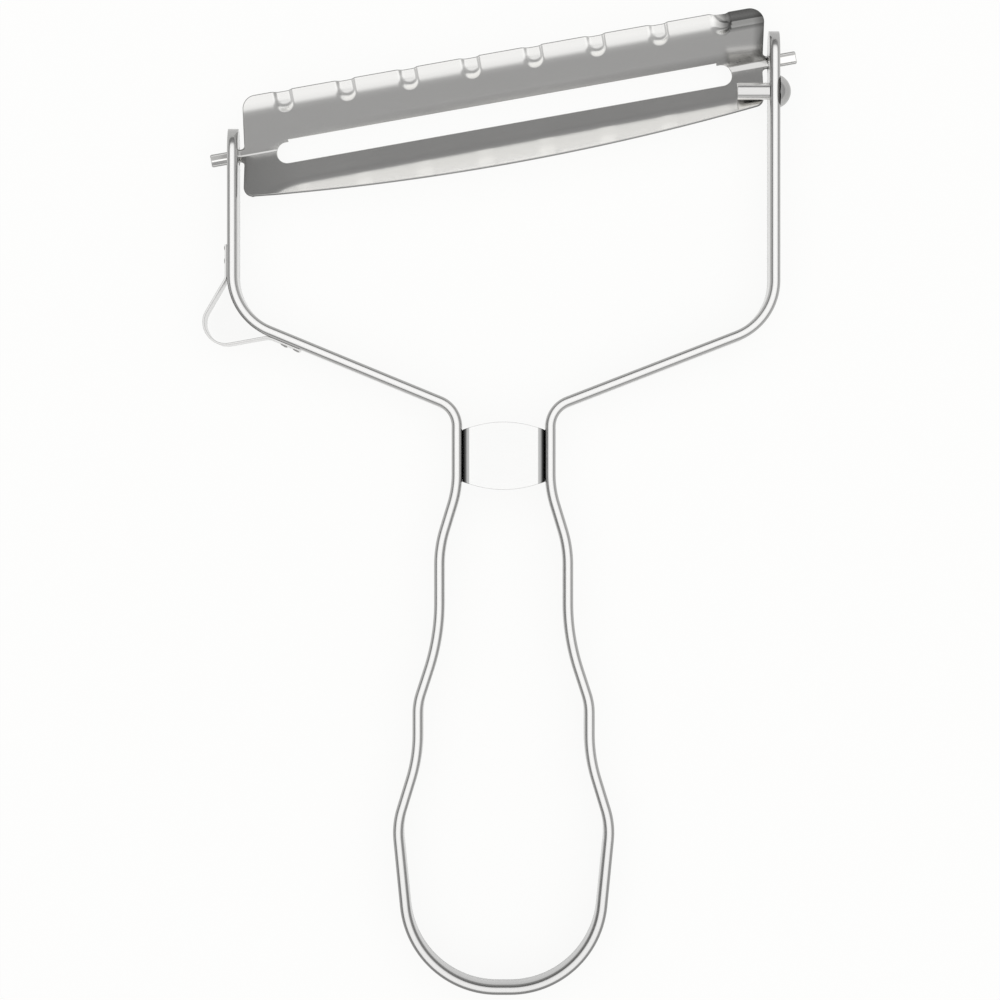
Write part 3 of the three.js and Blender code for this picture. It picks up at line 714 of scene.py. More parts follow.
def rounded(corners, closed, step=math.radians(3)):
    """Points of a chain of corners, each (x, y, radius), with its corners rounded"""
    count = len(corners)
    points = []
    for i, (x, y, radius) in enumerate(corners):
        here = Vector((x, y))
        if radius == 0 or (not closed and i in (0, count - 1)):
            points.append(here)
            continue
        before = (here - Vector(corners[i - 1][:2])).normalized()
        after = (Vector(corners[(i + 1) % count][:2]) - here).normalized()
        turn = math.atan2(before.cross(after), before.dot(after))
        start = here - before * radius * math.tan(abs(turn) / 2)
        centre = start + Vector((-before.y, before.x)) * math.copysign(radius, turn)
        steps = max(1, math.ceil(abs(turn) / step))
        for k in range(steps + 1):
            points.append(centre + Matrix.Rotation(turn * k / steps, 2) @ (start - centre))
    return np.array(points)


def pivot_height(x):
    """Height of the pivot line over the loop's foot"""
    return PIVOT.y + x * math.tan(LEAN)


def shoulder_height(bar, rise):
    """Height at which the run of a shoulder crosses the run of an arm"""
    return bar.waist_high[1] + (bar.arm_half - bar.waist_high[0]) * math.tan(rise)


def pin_place(bar, blade, fittings):
    """Place of the stop pin's middle line, resting on the blade's lower plate"""
    y = pivot_height(bar.arm_half) - fittings.pin_drop
    across = blade.half_length * math.sin(LEAN) - (y - PIVOT.y) * math.cos(LEAN)
    stand = fittings.pin_radius + blade.thickness / 2 + fittings.pin_gap
    over = stand + math.sin(blade.lower_lean) * across
    return Vector((0.0, y, PIVOT.z - blade.crease_setback + over / math.cos(blade.lower_lean)))


def bar_half_path(bar, side):
    """Half of the bar's middle line, from the loop's foot to the end of a lug"""
    rise, reach = (bar.left_rise, bar.left_lug) if side < 0 else (bar.right_rise, bar.right_lug)
    bends = [
        bar.loop_foot, bar.loop_side, bar.middle_low, bar.middle_high, bar.narrow_low,
        bar.narrow_high, bar.waist_low, bar.waist_high,
        (bar.arm_half, shoulder_height(bar, rise), bar.shoulder_bend),
    ]
    points = [(side * half, height, radius, 1.0) for half, height, radius in bends]
    lug = bar.depth / 2
    centre = pivot_height(side * bar.arm_half) + reach - lug
    for turn in np.linspace(0.0, bar.lug_turn, bar.lug_steps):
        points.append((side * bar.arm_half, centre + lug * math.sin(turn), 0.0, math.cos(turn)))
    return points


class PEELER_OT_bent_bar(Operator):
    """Bar bent into the handle loop, the waist, the shoulders and the arms"""

    bl_idname = "peeler.bent_bar"
    bl_label = "Bent Bar"

    def execute(self, context):
        """Sweeps the bar and drills its pivot and rivet holes"""
        scene = context.scene
        bar = scene.peeler_bar
        finish = steel(
            "bar steel",
            scene.peeler_finish.bar,
            roughness=0.2,
            coordinates=drawn_coordinates,
            grain=(40.0, 9000.0, 1.0),
            relief=0.15,
            # Painted shade and reflection: the rounded edges darker than the sides and front, and the
            # whole bar darker near the loop's foot
            painted_shade=height_painted_shade(
                low_stops={0.0: 0.3, 0.1: 0.22, 0.75: 0.22, 0.95: 0.75, 1.0: 0.8},
                full_height=42 * MM,
                high_stops={0.0: 0.62, 0.03: 0.45, 0.8: 0.45, 0.95: 0.84, 1.0: 0.91},
            ),
        )
        strip = {
            "Thickness": bar.thickness, "Depth": bar.depth, "Edge Radius": bar.edge_radius,
            "Bend Steps": bar.bend_steps, "Edge Steps": bar.edge_steps,
        }
        lift = Vector((0.0, 0.0, bar.depth / 2))
        pin = pin_place(bar, scene.peeler_blade, scene.peeler_fittings)
        through_both_arms = 4 * bar.arm_half
        pivot_hole = {
            "Radius": bar.pivot_hole, "Length": through_both_arms, "Place": PIVOT - lift,
            "Turn": LEAN, "Sides": bar.hole_sides,
        }
        rivet_hole = {
            "Radius": bar.rivet_hole, "Length": bar.arm_half,
            "Place": pin + Vector((bar.arm_half, 0.0, 0.0)) - lift, "Sides": bar.hole_sides,
        }
        path = path_mesh([*reversed(bar_half_path(bar, -1)), *bar_half_path(bar, 1)])
        drill = drill_tree()
        mesh = run_trees(path, finish, [
            (bent_strip_tree(), strip), (drill, pivot_hole), (drill, rivet_hole),
        ])
        mesh.transform(Matrix.Translation(lift))
        smooth(mesh, THICK_SHARP)
        show("bent_bar", mesh, "frame")
        return {"FINISHED"}


class PEELER_OT_waist_plate(Operator):
    """Bright channel between the legs of the waist"""

    bl_idname = "peeler.waist_plate"
    bl_label = "Waist Plate"

    def execute(self, context):
        """Sweeps the channel and crowns its ends"""
        scene = context.scene
        bar, sizes = scene.peeler_bar, scene.peeler_fittings
        waist = bar.waist_high[0]
        outside = waist - bar.thickness / 2 - sizes.seam
        half = outside - sizes.plate_thickness / 2
        face = bar.depth - sizes.plate_setback - sizes.plate_thickness / 2
        flat_half = half - sizes.plate_margin
        section = rounded([
            (-half, face - sizes.plate_flange, 0),
            (-half, face, sizes.plate_bend),
            *((x, face, 0) for x in np.linspace(-flat_half, flat_half, sizes.plate_steps + 1)),
            (half, face, sizes.plate_bend),
            (half, face - sizes.plate_flange, 0),
        ], closed=False)
        crown = 2 * sizes.plate_crown / sizes.plate_length
        line = [(x, y, 0.0, 1 + crown * (1 - (x / waist) ** 2)) for x, y in section]
        finish = steel(
            "plate steel",
            scene.peeler_finish.plate,
            roughness=0.16,
            coordinates=object_coordinates,
            grain=(300.0, 12000.0, 300.0),
            relief=0.1,
            # Painted shade: a band along each flange, grey and then dark toward the bar
            painted_shade=aside_painted_shade(
                outside - sizes.plate_painted_shade,
                outside,
                {0.0: 1.0, 0.1: 0.55, 0.5: 0.45, 0.6: 0.15, 1.0: 0.22},
            ),
        )
        mesh = run_trees(path_mesh(line), finish, [(bent_strip_tree(), {
            "Thickness": sizes.plate_thickness, "Depth": sizes.plate_length,
            "Edge Radius": sizes.plate_thickness / 4, "Bend Steps": 1,
            "Edge Steps": sizes.sheet_steps,
        })])
        middle = (bar.waist_low[1] + bar.waist_high[1]) / 2 - sizes.plate_drop
        mesh.transform(Matrix.Translation((0.0, middle, 0.0)) @ Matrix.Rotation(math.pi / 2, 4, "X"))
        smooth(mesh, SHEET_SHARP)
        show("waist_channel", mesh, "waist_plate")
        return {"FINISHED"}


class PEELER_OT_eye_remover(Operator):
    """Thin strip bent into a loop outside the left shoulder"""

    bl_idname = "peeler.eye_remover"
    bl_label = "Eye Remover"

    def execute(self, context):
        """Sweeps the strip down the arm, round the nose and back under the shoulder"""
        scene = context.scene
        bar, sizes = scene.peeler_bar, scene.peeler_fittings
        stand = bar.thickness / 2 + sizes.seam + sizes.eye_thickness / 2
        arm, top = -bar.arm_half - stand, shoulder_height(bar, bar.left_rise)
        slope = Vector((math.cos(bar.left_rise), -math.sin(bar.left_rise)))
        under = Vector((slope.y, -slope.x))
        meet = Vector((-bar.arm_half, top)) + under * stand + slope * sizes.eye_return
        end = meet + slope * sizes.eye_seat
        corners = [
            (arm, top + sizes.eye_arm_top, 0.0),
            (arm, top + sizes.eye_arm_foot, sizes.eye_arm_bend),
            (-bar.arm_half - sizes.eye_nose_out, top - sizes.eye_nose_drop, sizes.eye_nose_bend),
            (-bar.arm_half - sizes.eye_heel_out, top - sizes.eye_heel_drop, sizes.eye_nose_bend),
            (*meet, sizes.eye_return_bend),
            (*end, 0.0),
        ]
        finish = steel(
            "strip steel",
            scene.peeler_finish.strip,
            roughness=0.24,
            coordinates=drawn_coordinates,
            grain=(60.0, 9000.0, 1.0),
            relief=0.15,
            # Painted shade by level, nearly even over the strip's sides and edge
            painted_shade=level_painted_shade({0.0: 0.75, 0.4: 0.74, 1.0: 0.78}),
        )
        path = path_mesh([(*corner, 1.0) for corner in corners])
        mesh = run_trees(path, finish, [(bent_strip_tree(), {
            "Thickness": sizes.eye_thickness, "Depth": sizes.eye_width,
            "Edge Radius": sizes.eye_thickness / 4, "Bend Steps": sizes.eye_steps,
            "Edge Steps": sizes.sheet_steps,
        })])
        mesh.transform(Matrix.Translation((0.0, 0.0, bar.depth / 2)))
        smooth(mesh, SHEET_SHARP)
        show("eye_loop", mesh, "eye_remover")
        left, down = Vector((-1.0, 0.0)), Vector((0.0, -1.0))
        start = Vector(corners[0][:2])
        half = sizes.eye_thickness / 2
        self.spot_welds(scene, [(start + left * half, down, left), (end + under * half, -slope, under)])
        return {"FINISHED"}

    def spot_welds(self, scene, seats):
        """Two rows of spot welds from the end of each seat: its end, the way back and outward"""
        sizes = scene.peeler_fittings
        finish = steel(
            "weld steel",
            scene.peeler_finish.weld,
            roughness=0.35,
            coordinates=object_coordinates,
            grain=(900.0, 900.0, 900.0),
            relief=0.2,
        )
        points, outward = [], []
        for end, back, out in seats:
            for way in (sizes.weld_start, sizes.weld_start + sizes.weld_spacing):
                for height in (sizes.weld_back, sizes.weld_front):
                    points.append((*(end + back * way), height))
                    outward.extend((*out, 0.0))
        places = bpy.data.meshes.new("weld places")
        places.from_pydata(points, [], [])
        attribute = places.attributes.new("outward", "FLOAT_VECTOR", "POINT")
        attribute.data.foreach_set("vector", outward)
        mesh = run_trees(places, finish, [(weld_tree(), {
            "Radius": sizes.weld_radius, "Height": sizes.weld_height, "Seed": sizes.weld_seed,
        })])
        mesh.shade_smooth()
        show("spot_welds", mesh, "eye_remover", stands_in=False)


class PEELER_OT_stop_pin(Operator):
    """Rivet with a barrel inside the right arm and a domed head outside"""

    bl_idname = "peeler.stop_pin"
    bl_label = "Stop Pin"

    def execute(self, context):
        """Turns the pin's outline about its middle line"""
        scene = context.scene
        bar, sizes = scene.peeler_bar, scene.peeler_fittings
        inner = bar.arm_half - bar.thickness / 2
        outer = bar.arm_half + bar.thickness / 2 + sizes.seam
        tip = inner - sizes.pin_reach
        dome = (sizes.head_radius ** 2 + sizes.head_height ** 2) / (2 * sizes.head_height)
        spread = math.asin(sizes.head_radius / dome)
        outline = [(tip, 0.0)]
        for turn in np.linspace(math.pi / 2, 0.0, sizes.pin_steps + 1):
            outline.append((
                tip + sizes.pin_round * (1 - math.sin(turn)),
                sizes.pin_radius - sizes.pin_round * (1 - math.cos(turn)),
            ))
        outline += [
            (inner - sizes.seam, sizes.pin_radius),
            (inner - sizes.seam, sizes.shank_radius),
            (outer, sizes.shank_radius),
        ]
        for turn in np.linspace(spread, 0.0, sizes.head_steps + 1):
            outline.append((
                outer + sizes.head_height - dome * (1 - math.cos(turn)), dome * math.sin(turn)
            ))
        finish = steel(
            "pin steel",
            scene.peeler_finish.pin,
            roughness=0.2,
            coordinates=object_coordinates,
            grain=(9000.0, 300.0, 300.0),
            relief=0.15,
            # Painted shade on the domed head, darker toward its crown
            painted_shade=aside_painted_shade(outer, outer + sizes.head_height, {0.0: 1.0, 0.02: 0.65, 1.0: 0.52}),
        )
        mesh = turned_mesh("stop_rivet", outline, sizes.pin_sides)
        mesh.transform(Matrix.Translation(pin_place(bar, scene.peeler_blade, sizes)))
        mesh.materials.append(finish)
        smooth(mesh, THICK_SHARP)
        show("stop_rivet", mesh, "stop_pin")
        return {"FINISHED"}


def evenly(loop, spacing):
    """Closed loop with its corners kept and its long runs split"""
    points = []
    for here, there in zip(loop, np.roll(loop, -1, axis=0)):
        parts = max(1, round(np.linalg.norm(there - here) / spacing))
        points.extend(here + (there - here) * k / parts for k in range(parts))
    return np.array(points)


def inward(loop):
    """Mitred normals of a closed loop, to the left of its run"""
    before = loop - np.roll(loop, 1, axis=0)
    after = np.roll(loop, -1, axis=0) - loop
    before /= np.linalg.norm(before, axis=1)[:, None]
    after /= np.linalg.norm(after, axis=1)[:, None]
    along = before + after
    along /= np.linalg.norm(along, axis=1)[:, None]
    longest_mitre = 2.0
    shrink = np.maximum(np.sum(along * after, axis=1), 1 / longest_mitre)[:, None]
    return np.column_stack((-along[:, 1], along[:, 0])) / shrink


def inside(points, loops):
    """Which points lie in the region that the loops enclose, even-odd"""
    odd = np.zeros(len(points), bool)
    for loop in loops:
        for (x0, y0), (x1, y1) in zip(loop, np.roll(loop, -1, axis=0)):
            if y0 == y1:
                continue
            crosses = (points[:, 1] < y0) != (points[:, 1] < y1)
            odd ^= crosses & (points[:, 0] < x0 + (points[:, 1] - y0) * (x1 - x0) / (y1 - y0))
    return odd


def ramp(way, half):
    """Ramp that starts rising at zero, rounded over a half width, and its slope"""
    slope = np.clip((way + half) / (2 * half), 0, 1)
    return np.where(way < half, half * slope * slope, way), slope


class BladeSheet:
    """Blade's sheet in its own coordinates: u along the pivot line, v up the blade, w to the front"""

    # Distances between the mesh's points
    ROW_GAP = 0.45 * MM
    BEAD_ROW_GAP = 0.17 * MM
    CREASE_ROW_GAP = 0.08 * MM
    LEAST_ROW_GAP = 0.05 * MM
    COLUMN_GAP = 0.26 * MM
    BORDER_STEP = 0.25 * MM
    LEAST_BORDER_GAP = 0.14 * MM
    BELLY_STEPS = 60

    # Rings round a cut edge: share of its rounding to the inside, and level from front to back
    EDGE_RINGS = ((0.29, 0.86), (0.0, 0.5), (0.0, -0.5), (0.29, -0.86))

    def __init__(self, sizes):
        self.sizes = sizes

    def bends(self, points):
        """Bends of the sheet at points: side, start, change of slope beyond it, half height"""
        size = self.sizes
        u = points[:, 0]
        crease = size.crease_bend + size.crease_growth * (u > 0)
        back = ramp(u - size.corner_start, size.corner_blend)[1]
        rim = math.tan(size.rim_lean) * (1 - back) - math.tan(size.corner_lean) * back
        upper, lower, lip = (math.tan(a) for a in (size.upper_lean, size.lower_lean, size.lip_lean))
        return (
            (1, 0.0, upper, crease),
            (1, size.rim_start, rim - upper, size.rim_bend + (size.corner_bend - size.rim_bend) * back),
            (-1, 0.0, lower, crease),
            (-1, self.lip_line(u), lip - lower, size.lip_bend),
        )

    def lip_line(self, u):
        """Drop of the bend into the lip, which runs out before the left end"""
        size = self.sizes
        run_out = np.clip(-u - size.lip_full, 0, None) ** 2 / size.lip_turn
        return size.lip_start - size.lip_skew * u + run_out

    def depth(self, points):
        """Depth of the sheet's middle"""
        depth = np.full(len(points), -self.sizes.crease_setback)
        for side, start, change, half in self.bends(points):
            depth += change * ramp(side * points[:, 1] - start, half)[0]
        return depth

    def slope(self, points):
        """Slope of the sheet across the blade"""
        slope = np.zeros(len(points))
        for side, start, change, half in self.bends(points):
            slope += side * change * ramp(side * points[:, 1] - start, half)[1]
        return slope

    def end(self, side, v):
        """Place along the pivot line of the blade's end, which stands upright in the frame"""
        return (side * self.sizes.half_length + v * math.sin(LEAN)) / math.cos(LEAN)

    def bead_middle(self):
        """Place along the pivot line of the middle of the row of beads"""
        size = self.sizes
        return (self.end(1, size.rim_top) + self.end(-1, size.rim_top)) / 2 - size.bead_shift

    def outline(self):
        """Outer outline with a tab at each end, anticlockwise"""
        size = self.sizes
        left, right = self.end(-1, -size.lip_edge), self.end(1, -size.lip_edge)
        belly = [
            (left + (right - left) * t, -size.lip_edge - 4 * size.lip_belly * t * (1 - t), 0)
            for t in np.linspace(0, 1, self.BELLY_STEPS + 1)[1:-1]
        ]
        return rounded([
            (left, -size.lip_edge, size.bottom_corner),
            *belly,
            (right, -size.lip_edge, size.bottom_corner),
            *self.end_corners(1),
            *reversed(self.end_corners(-1)),
        ], closed=True)

    def end_corners(self, side):
        """Corners of one end of the blade, up from the lip: its pivot tab and the rim's corner"""
        size = self.sizes
        return [
            (self.end(side, -size.tab_half), -size.tab_half, size.tab_neck),
            (side * size.tab_reach, -size.tab_half, size.tab_tip),
            (side * size.tab_reach, size.tab_half, size.tab_tip),
            (self.end(side, size.tab_half), size.tab_half, size.tab_neck),
            (self.end(side, size.rim_top), size.rim_top, size.top_corner),
        ]

    def slot(self):
        """Slot's outline with the step of the ground edge, clockwise"""
        size = self.sizes
        ground, top = size.slot_half - size.ground_margin, size.slot_upper + size.ground_depth
        return rounded([
            (-size.slot_half, size.slot_upper, size.slot_end),
            (-ground, size.slot_upper, 0),
            (-ground, top, 0),
            (ground, top, 0),
            (ground, size.slot_upper, 0),
            (size.slot_half, size.slot_upper, size.slot_end),
            (size.slot_half, -size.slot_lower, size.slot_end),
            (-size.slot_half, -size.slot_lower, size.slot_end),
        ], closed=True)

    def ground_off(self, points):
        """Depth ground off the back along the slot's upper edge"""
        size = self.sizes
        way = (points[:, 1] - size.slot_upper - size.ground_depth) / math.cos(size.upper_lean)
        share = np.clip(1 - way / size.grind_width, 0, 1)
        share[(way < -size.edge_round) | (abs(points[:, 0]) > size.slot_half - size.ground_margin)] = 0
        return share * (size.thickness - size.ground_edge)

    def painted_light(self, points, colours):
        """Painted light and shade as shares of the steel's brightness: painted highlights on the rim,
        lip and tabs, painted shade on the corner, the right end, the slot's edge and the left end
        """
        size = self.sizes
        u, v = points.T
        plain = colours.plain_painted_light
        # Painted highlight on the rim, and painted shade on its turned corner and in the bend under it
        back = ramp(u - size.corner_start, size.corner_blend)[1]
        below = np.clip((size.rim_top - v) / (size.rim_top - size.rim_start), 0, 1)
        corner = colours.corner_painted_shade + (plain - colours.corner_painted_shade) * below
        rim = colours.rim_painted_light + (corner - colours.rim_painted_light) * back
        turn = ramp(v - size.rim_start, size.rim_bend)[1]
        painted_light = plain + (rim - plain) * turn
        painted_light *= 1 - colours.corner_bend_painted_shade * back * 4 * turn * (1 - turn)
        # Painted shade on the last bead's right half
        painted_light *= 1 - colours.fold_painted_shade * self.last_bead_shade(u, v)
        # Painted shade along the blade's right end
        side = np.clip(1 - (self.end(1, v) - u) / size.right_end_shade_width, 0, 1) * (v > size.tab_half)
        painted_light *= 1 - colours.right_end_painted_shade * side
        # Painted highlight on the lip
        painted_light += (colours.lip_painted_light - plain) * ramp(-v - self.lip_line(u), size.lip_bend)[1]
        # Painted shade along the slot's upper edge, fading in from the left
        slot_edge_shade = np.clip(1 - (v - size.slot_upper - size.ground_depth) / size.slot_edge_shade_width, 0, 1)
        slot_edge_shade *= np.clip((u + size.slot_edge_shade_start) / (size.slot_edge_shade_start - size.slot_edge_shade_full), 0, 1)
        slot_edge_shade *= (v > size.slot_upper) & (abs(u) < size.slot_half)
        painted_light *= 1 + (colours.slot_edge_painted_shade - 1) * slot_edge_shade
        # Painted shade on the lower plate's left end
        left = np.clip((-u - size.lip_full) / (size.half_length - size.lip_full), 0, 1)
        painted_light *= 1 + (colours.left_end_painted_shade - 1) * left * (v < -size.crease_bend)
        # Painted highlight on the pivot tabs
        tabs = (abs(u) > self.end(1, 0.0) + size.tab_neck) & (abs(v) < size.tab_half + size.tab_neck)
        painted_light[tabs] = colours.tab_painted_light
        return painted_light

    def last_bead_shade(self, u, v):
        """Share of the last bead's right half that takes painted shade, rising to its flank, inside its
        round foot
        """
        size = self.sizes
        aside = u - self.bead_middle() - (size.bead_count - 1) / 2 * size.bead_pitch
        away = np.hypot(aside, np.clip(size.bead_foot + size.bead_half - v, 0, None))
        return np.clip(aside / size.bead_half, 0, 1) * (away < size.bead_half)

    def surface(self, points, level):
        """Points of the sheet: level 1 is the front face, -1 the back"""
        size = self.sizes
        turn = np.arctan(self.slope(points))
        back = size.thickness / 2 - self.ground_off(points)
        front = size.thickness / 2
        out = (front - back) / 2 + level * (front + back) / 2
        return np.column_stack((
            points[:, 0],
            points[:, 1] - out * np.sin(turn),
            self.depth(points) + out * np.cos(turn),
        ))

    def grid(self, loops):
        """Points inside the loops, close together along the bends and the beads"""
        size = self.sizes
        low = -size.lip_edge - size.lip_belly
        crease = size.crease_bend + size.crease_growth
        rows = np.concatenate((
            np.arange(low, size.bead_foot, self.ROW_GAP),
            np.arange(size.bead_foot, size.rim_top, self.BEAD_ROW_GAP),
            np.arange(-crease, crease, self.CREASE_ROW_GAP),
        ))
        rows = np.unique(np.round(rows, decimals=6))
        rows = rows[np.concatenate(([True], np.diff(rows) > self.LEAST_ROW_GAP))]
        columns = np.arange(-size.tab_reach, size.tab_reach, self.COLUMN_GAP)
        points = np.array(np.meshgrid(columns, rows)).reshape(2, -1).T
        points = points[inside(points, loops)]
        border = np.concatenate(loops)
        tree = KDTree(len(border))
        for i, (x, y) in enumerate(border):
            tree.insert((x, y, 0.0), i)
        tree.balance()
        clear = [tree.find((x, y, 0.0))[2] > self.LEAST_BORDER_GAP for x, y in points]
        return points[np.array(clear)]

    def flat_sheet(self, loops):
        """Flat sheet inside the loops: its points, its triangles and which points are the loops'"""
        edges, start = [], 0
        for loop in loops:
            around = len(loop)
            edges += [(start + i, start + (i + 1) % around) for i in range(around)]
            start += around
        points = [Vector(point) for point in np.concatenate((*loops, self.grid(loops))) / MM]
        all_triangles, same_point = 0, 1e-7
        flat, _, faces, origin, _, _ = delaunay_2d_cdt(points, edges, [], all_triangles, same_point)
        flat, faces = np.array(flat) * MM, np.array(faces)
        made = {old: new for new, olds in enumerate(origin) for old in olds}
        on_loops = np.array([made[i] for i in range(start)])
        return flat, faces[inside(flat[faces].mean(axis=1), loops)], on_loops

    def mesh(self, colours):
        """Closed sheet with rounded cut edges"""
        size = self.sizes
        borders = [evenly(loop, self.BORDER_STEP) for loop in (self.outline(), self.slot())]
        flat, faces, on_loops = self.flat_sheet([
            loop + inward(loop) * size.edge_round for loop in borders
        ])
        count = len(flat)
        layers = [self.surface(flat, 1), self.surface(flat, -1)]
        # Painted light and shade on the front and back faces
        front_painted_light = self.painted_light(flat, colours)
        # The back's ground bevel takes the grind's own brightness instead of the painted light
        back_painted_light_and_grind = np.where(self.ground_off(flat) > 0, colours.ground_shine, front_painted_light)
        painted_light = [front_painted_light, back_painted_light_and_grind]
        polygons = [*faces.tolist(), *(faces[:, ::-1] + count).tolist()]
        total, start = 2 * count, 0
        # Painted shade on the outline's cut edge; the slot's cut edge keeps the painted light beside it
        for loop, ring_painted_shade in zip(borders, (colours.edge_painted_shade, 1.0)):
            around = len(loop)
            front = on_loops[start:start + around]
            rows = [front]
            for inset, level in self.EDGE_RINGS:
                ring = loop + inward(loop) * size.edge_round * inset
                layers.append(self.surface(ring, level))
                painted_light.append(self.painted_light(ring, colours) * ring_painted_shade)
                rows.append(total + np.arange(around))
                total += around
            rows.append(front + count)
            for upper, lower in zip(rows, rows[1:]):
                quads = np.column_stack((upper, lower, np.roll(lower, -1), np.roll(upper, -1)))
                polygons += quads.tolist()
            start += around
        mesh = bpy.data.meshes.new("blade sheet")
        mesh.from_pydata(np.concatenate(layers), [], polygons)
        attribute = mesh.attributes.new("painted_light", "FLOAT", "POINT")
        attribute.data.foreach_set("value", np.concatenate(painted_light))
        border = np.zeros(total, bool)
        border[on_loops] = True
        edges = np.array([edge.vertices for edge in mesh.edges])
        sharp = mesh.attributes.new("sharp_edge", "BOOLEAN", "EDGE")
        sharp.data.foreach_set("value", border[edges].all(axis=1))
        return mesh


class PEELER_OT_swivel_blade(Operator):
    """Folded, slotted and beaded blade with a pivot tab at each end"""

    bl_idname = "peeler.swivel_blade"
    bl_label = "Swivel Blade"

    def execute(self, context):
        """Folds the sheet, presses its beads and turns it onto the pivot line"""
        scene = context.scene
        sizes = scene.peeler_blade
        sheet = BladeSheet(sizes)
        finish = steel(
            "blade steel",
            scene.peeler_finish.blade,
            roughness=0.15,
            coordinates=blade_coordinates,
            grain=(300.0, 14000.0, 14000.0),
            relief=0.12,
            # Painted light and shade from the sheet's points
            painted_shade=painted_light_shade,
        )
        mesh = run_trees(sheet.mesh(scene.peeler_finish), finish, [(bead_tree(), {
            "Count": sizes.bead_count,
            "Pitch": sizes.bead_pitch,
            "Middle": sheet.bead_middle(),
            "Half Width": sizes.bead_half,
            "Height": sizes.bead_height,
            "Foot": sizes.bead_foot,
            "Slope": sizes.bead_slope,
            "Step": sizes.bead_step,
            "Dip": sizes.bead_dip,
            "Rim Top": sizes.rim_top,
            "Flank Painted Light": scene.peeler_finish.flank_painted_light,
        })])
        left_tab = Matrix.Translation((sheet.end(-1, 0.0), 0.0, 0.0))
        lifted = left_tab @ Matrix.Rotation(sizes.seat_lift, 4, "Z") @ left_tab.inverted()
        mesh.transform(Matrix.Translation(PIVOT) @ Matrix.Rotation(LEAN, 4, "Z") @ lifted)
        mesh.shade_smooth()
        show("swivel_blade", mesh, "blade")
        return {"FINISHED"}


def studio_world(stage, colours):
    """Wide soft box overhead in a dim room, with a pale backdrop all round the horizon"""
    world = bpy.data.worlds.new("soft box")
    bpy.context.scene.world = world
    world.use_nodes = True
    world.node_tree.nodes.clear()
    maker = NodeMaker(world.node_tree)
    toward = maker.parts(maker.add("ShaderNodeTexCoord").outputs["Generated"])
    tilt = maker.math("ARCTAN2", toward["Y"], toward["Z"])
    room = maker.levels(
        maker.span(tilt, -math.pi, math.pi),
        {(degrees + 180) / 360: level for degrees, level in ROOM_LEVELS.items()},
    )
    lean = maker.math("ARCTAN2", maker.math("ABSOLUTE", toward["X"]), toward["Z"])
    flanks = maker.span(lean, stage.flank_start, stage.flank_full, blend="SMOOTHSTEP")
    blend_half = 0.3
    side = maker.span(toward["X"], -blend_half, blend_half, colours.flank_left, colours.flank_right)
    light = maker.blend(flanks, room, side)
    low = maker.span(toward["Z"], math.sin(stage.horizon_top), math.sin(stage.horizon_full))
    walls = maker.blend(low, light, (*colours.backdrop, 1.0))
    studio = maker.add("ShaderNodeBackground", {"Color": walls})
    maker.add("ShaderNodeOutputWorld", {"Surface": studio.outputs[0]})


def floor_material(colours):
    """Pale floor that the camera and the steel see as the backdrop, with a faint shadow"""
    material = bpy.data.materials.new("floor")
    material.use_nodes = True
    material.node_tree.nodes.clear()
    maker = NodeMaker(material.node_tree)
    white = (*colours.backdrop, 1.0)
    plain = maker.add("ShaderNodeBsdfDiffuse", {"Color": white})
    glow = maker.add("ShaderNodeEmission", {"Color": white, "Strength": 1.0})
    ray = maker.add("ShaderNodeLightPath").outputs
    mirrored = maker.math("MAXIMUM", ray["Is Glossy Ray"], ray["Is Transmission Ray"])
    seen = maker.math("MAXIMUM", ray["Is Camera Ray"], mirrored)
    share = maker.math("MULTIPLY", seen, colours.floor_glow)
    mixed = maker.add("ShaderNodeMixShader", {0: share, 1: plain.outputs[0], 2: glow.outputs[0]})
    maker.add("ShaderNodeOutputMaterial", {"Surface": mixed.outputs[0]})
    return material


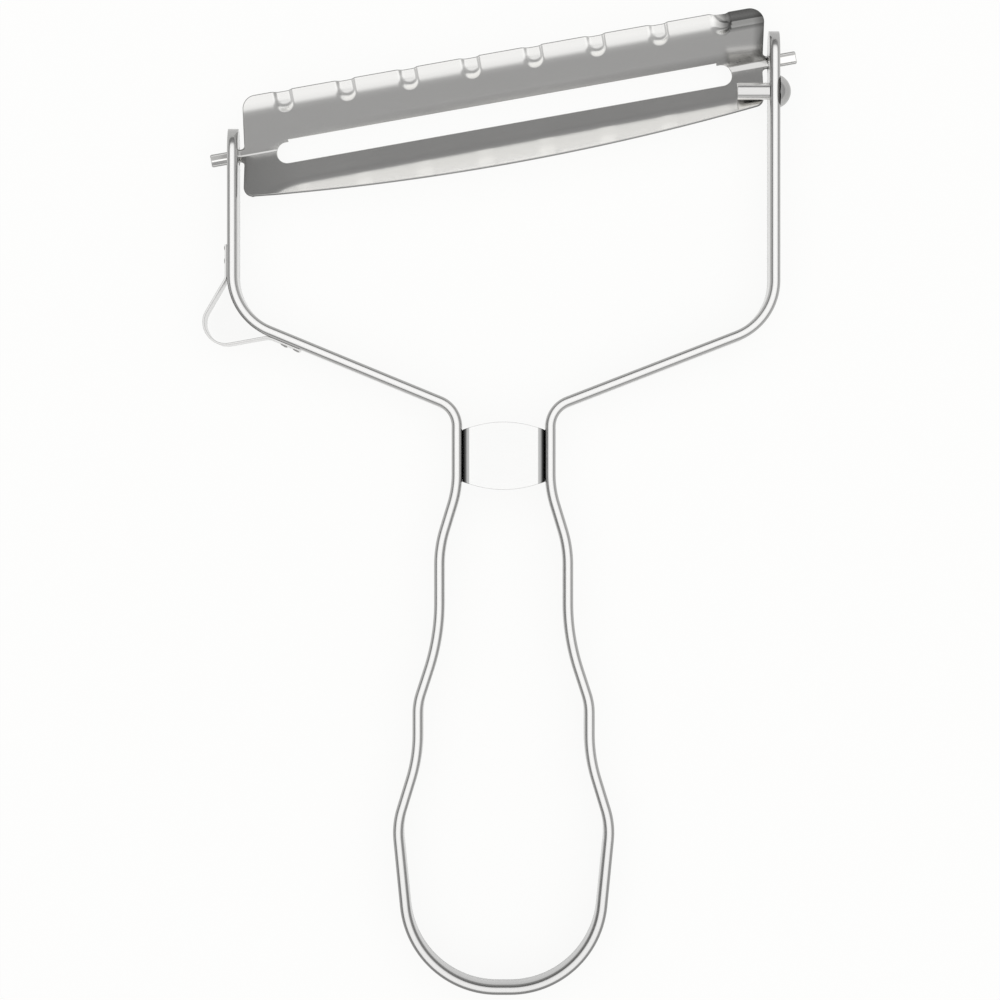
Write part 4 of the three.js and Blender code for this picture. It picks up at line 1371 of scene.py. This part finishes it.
class PEELER_OT_stage(Operator):
    """Pale floor, soft light and the camera"""

    bl_idname = "peeler.stage"
    bl_label = "Stage"

    def execute(self, context):
        """Lays the floor and hangs the camera straight over the peeler's front"""
        scene = context.scene
        stage, colours = scene.peeler_stage, scene.peeler_finish
        corners = [(-1, -1), (1, -1), (1, 1), (-1, 1)]
        mesh = bpy.data.meshes.new("floor")
        mesh.from_pydata(
            [(x * stage.floor_half, y * stage.floor_half, -stage.floor_drop) for x, y in corners],
            [], [(0, 1, 2, 3)],
        )
        mesh.materials.append(floor_material(colours))
        floor = bpy.data.objects.new("floor", mesh)
        scene.collection.objects.link(floor)
        studio_world(stage, colours)
        camera = bpy.data.objects.new("camera", bpy.data.cameras.new("camera"))
        camera.data.sensor_width = stage.sensor
        camera.data.lens = stage.lens
        camera.location = stage.camera_place
        scene.collection.objects.link(camera)
        scene.camera = camera
        scene.view_settings.view_transform = "Standard"
        return {"FINISHED"}


OPERATORS = (
    PEELER_OT_stage,
    PEELER_OT_bent_bar,
    PEELER_OT_waist_plate,
    PEELER_OT_eye_remover,
    PEELER_OT_stop_pin,
    PEELER_OT_swivel_blade,
)


class PEELER_PT_sidebar(Panel):
    """Peeler's pieces and sizes"""

    bl_idname = "PEELER_PT_sidebar"
    bl_label = "Vegetable Peeler"
    bl_space_type = "VIEW_3D"
    bl_region_type = "UI"
    bl_category = "Peeler"

    def draw(self, context):
        """Lists the operators, then every size and colour"""
        for operator in OPERATORS:
            self.layout.operator(operator.bl_idname)
        for name, group in SIZE_GROUPS.items():
            box = self.layout.box()
            sizes = getattr(context.scene, name)
            for key in group.__annotations__:
                box.prop(sizes, key)


CLASSES = (*SIZE_GROUPS.values(), *OPERATORS, PEELER_PT_sidebar)


def register():
    """Registers the classes and gives the scene its sizes"""
    for cls in CLASSES:
        bpy.utils.register_class(cls)
    for name, group in SIZE_GROUPS.items():
        setattr(bpy.types.Scene, name, PointerProperty(type=group))


def unregister():
    """Takes the sizes and the classes away"""
    for name in SIZE_GROUPS:
        delattr(bpy.types.Scene, name)
    for cls in reversed(CLASSES):
        bpy.utils.unregister_class(cls)


def main():
    register()
    bpy.ops.peeler.stage()
    bpy.ops.peeler.bent_bar()
    bpy.ops.peeler.waist_plate()
    bpy.ops.peeler.eye_remover()
    bpy.ops.peeler.stop_pin()
    bpy.ops.peeler.swivel_blade()


if __name__ == "__main__":
    main()
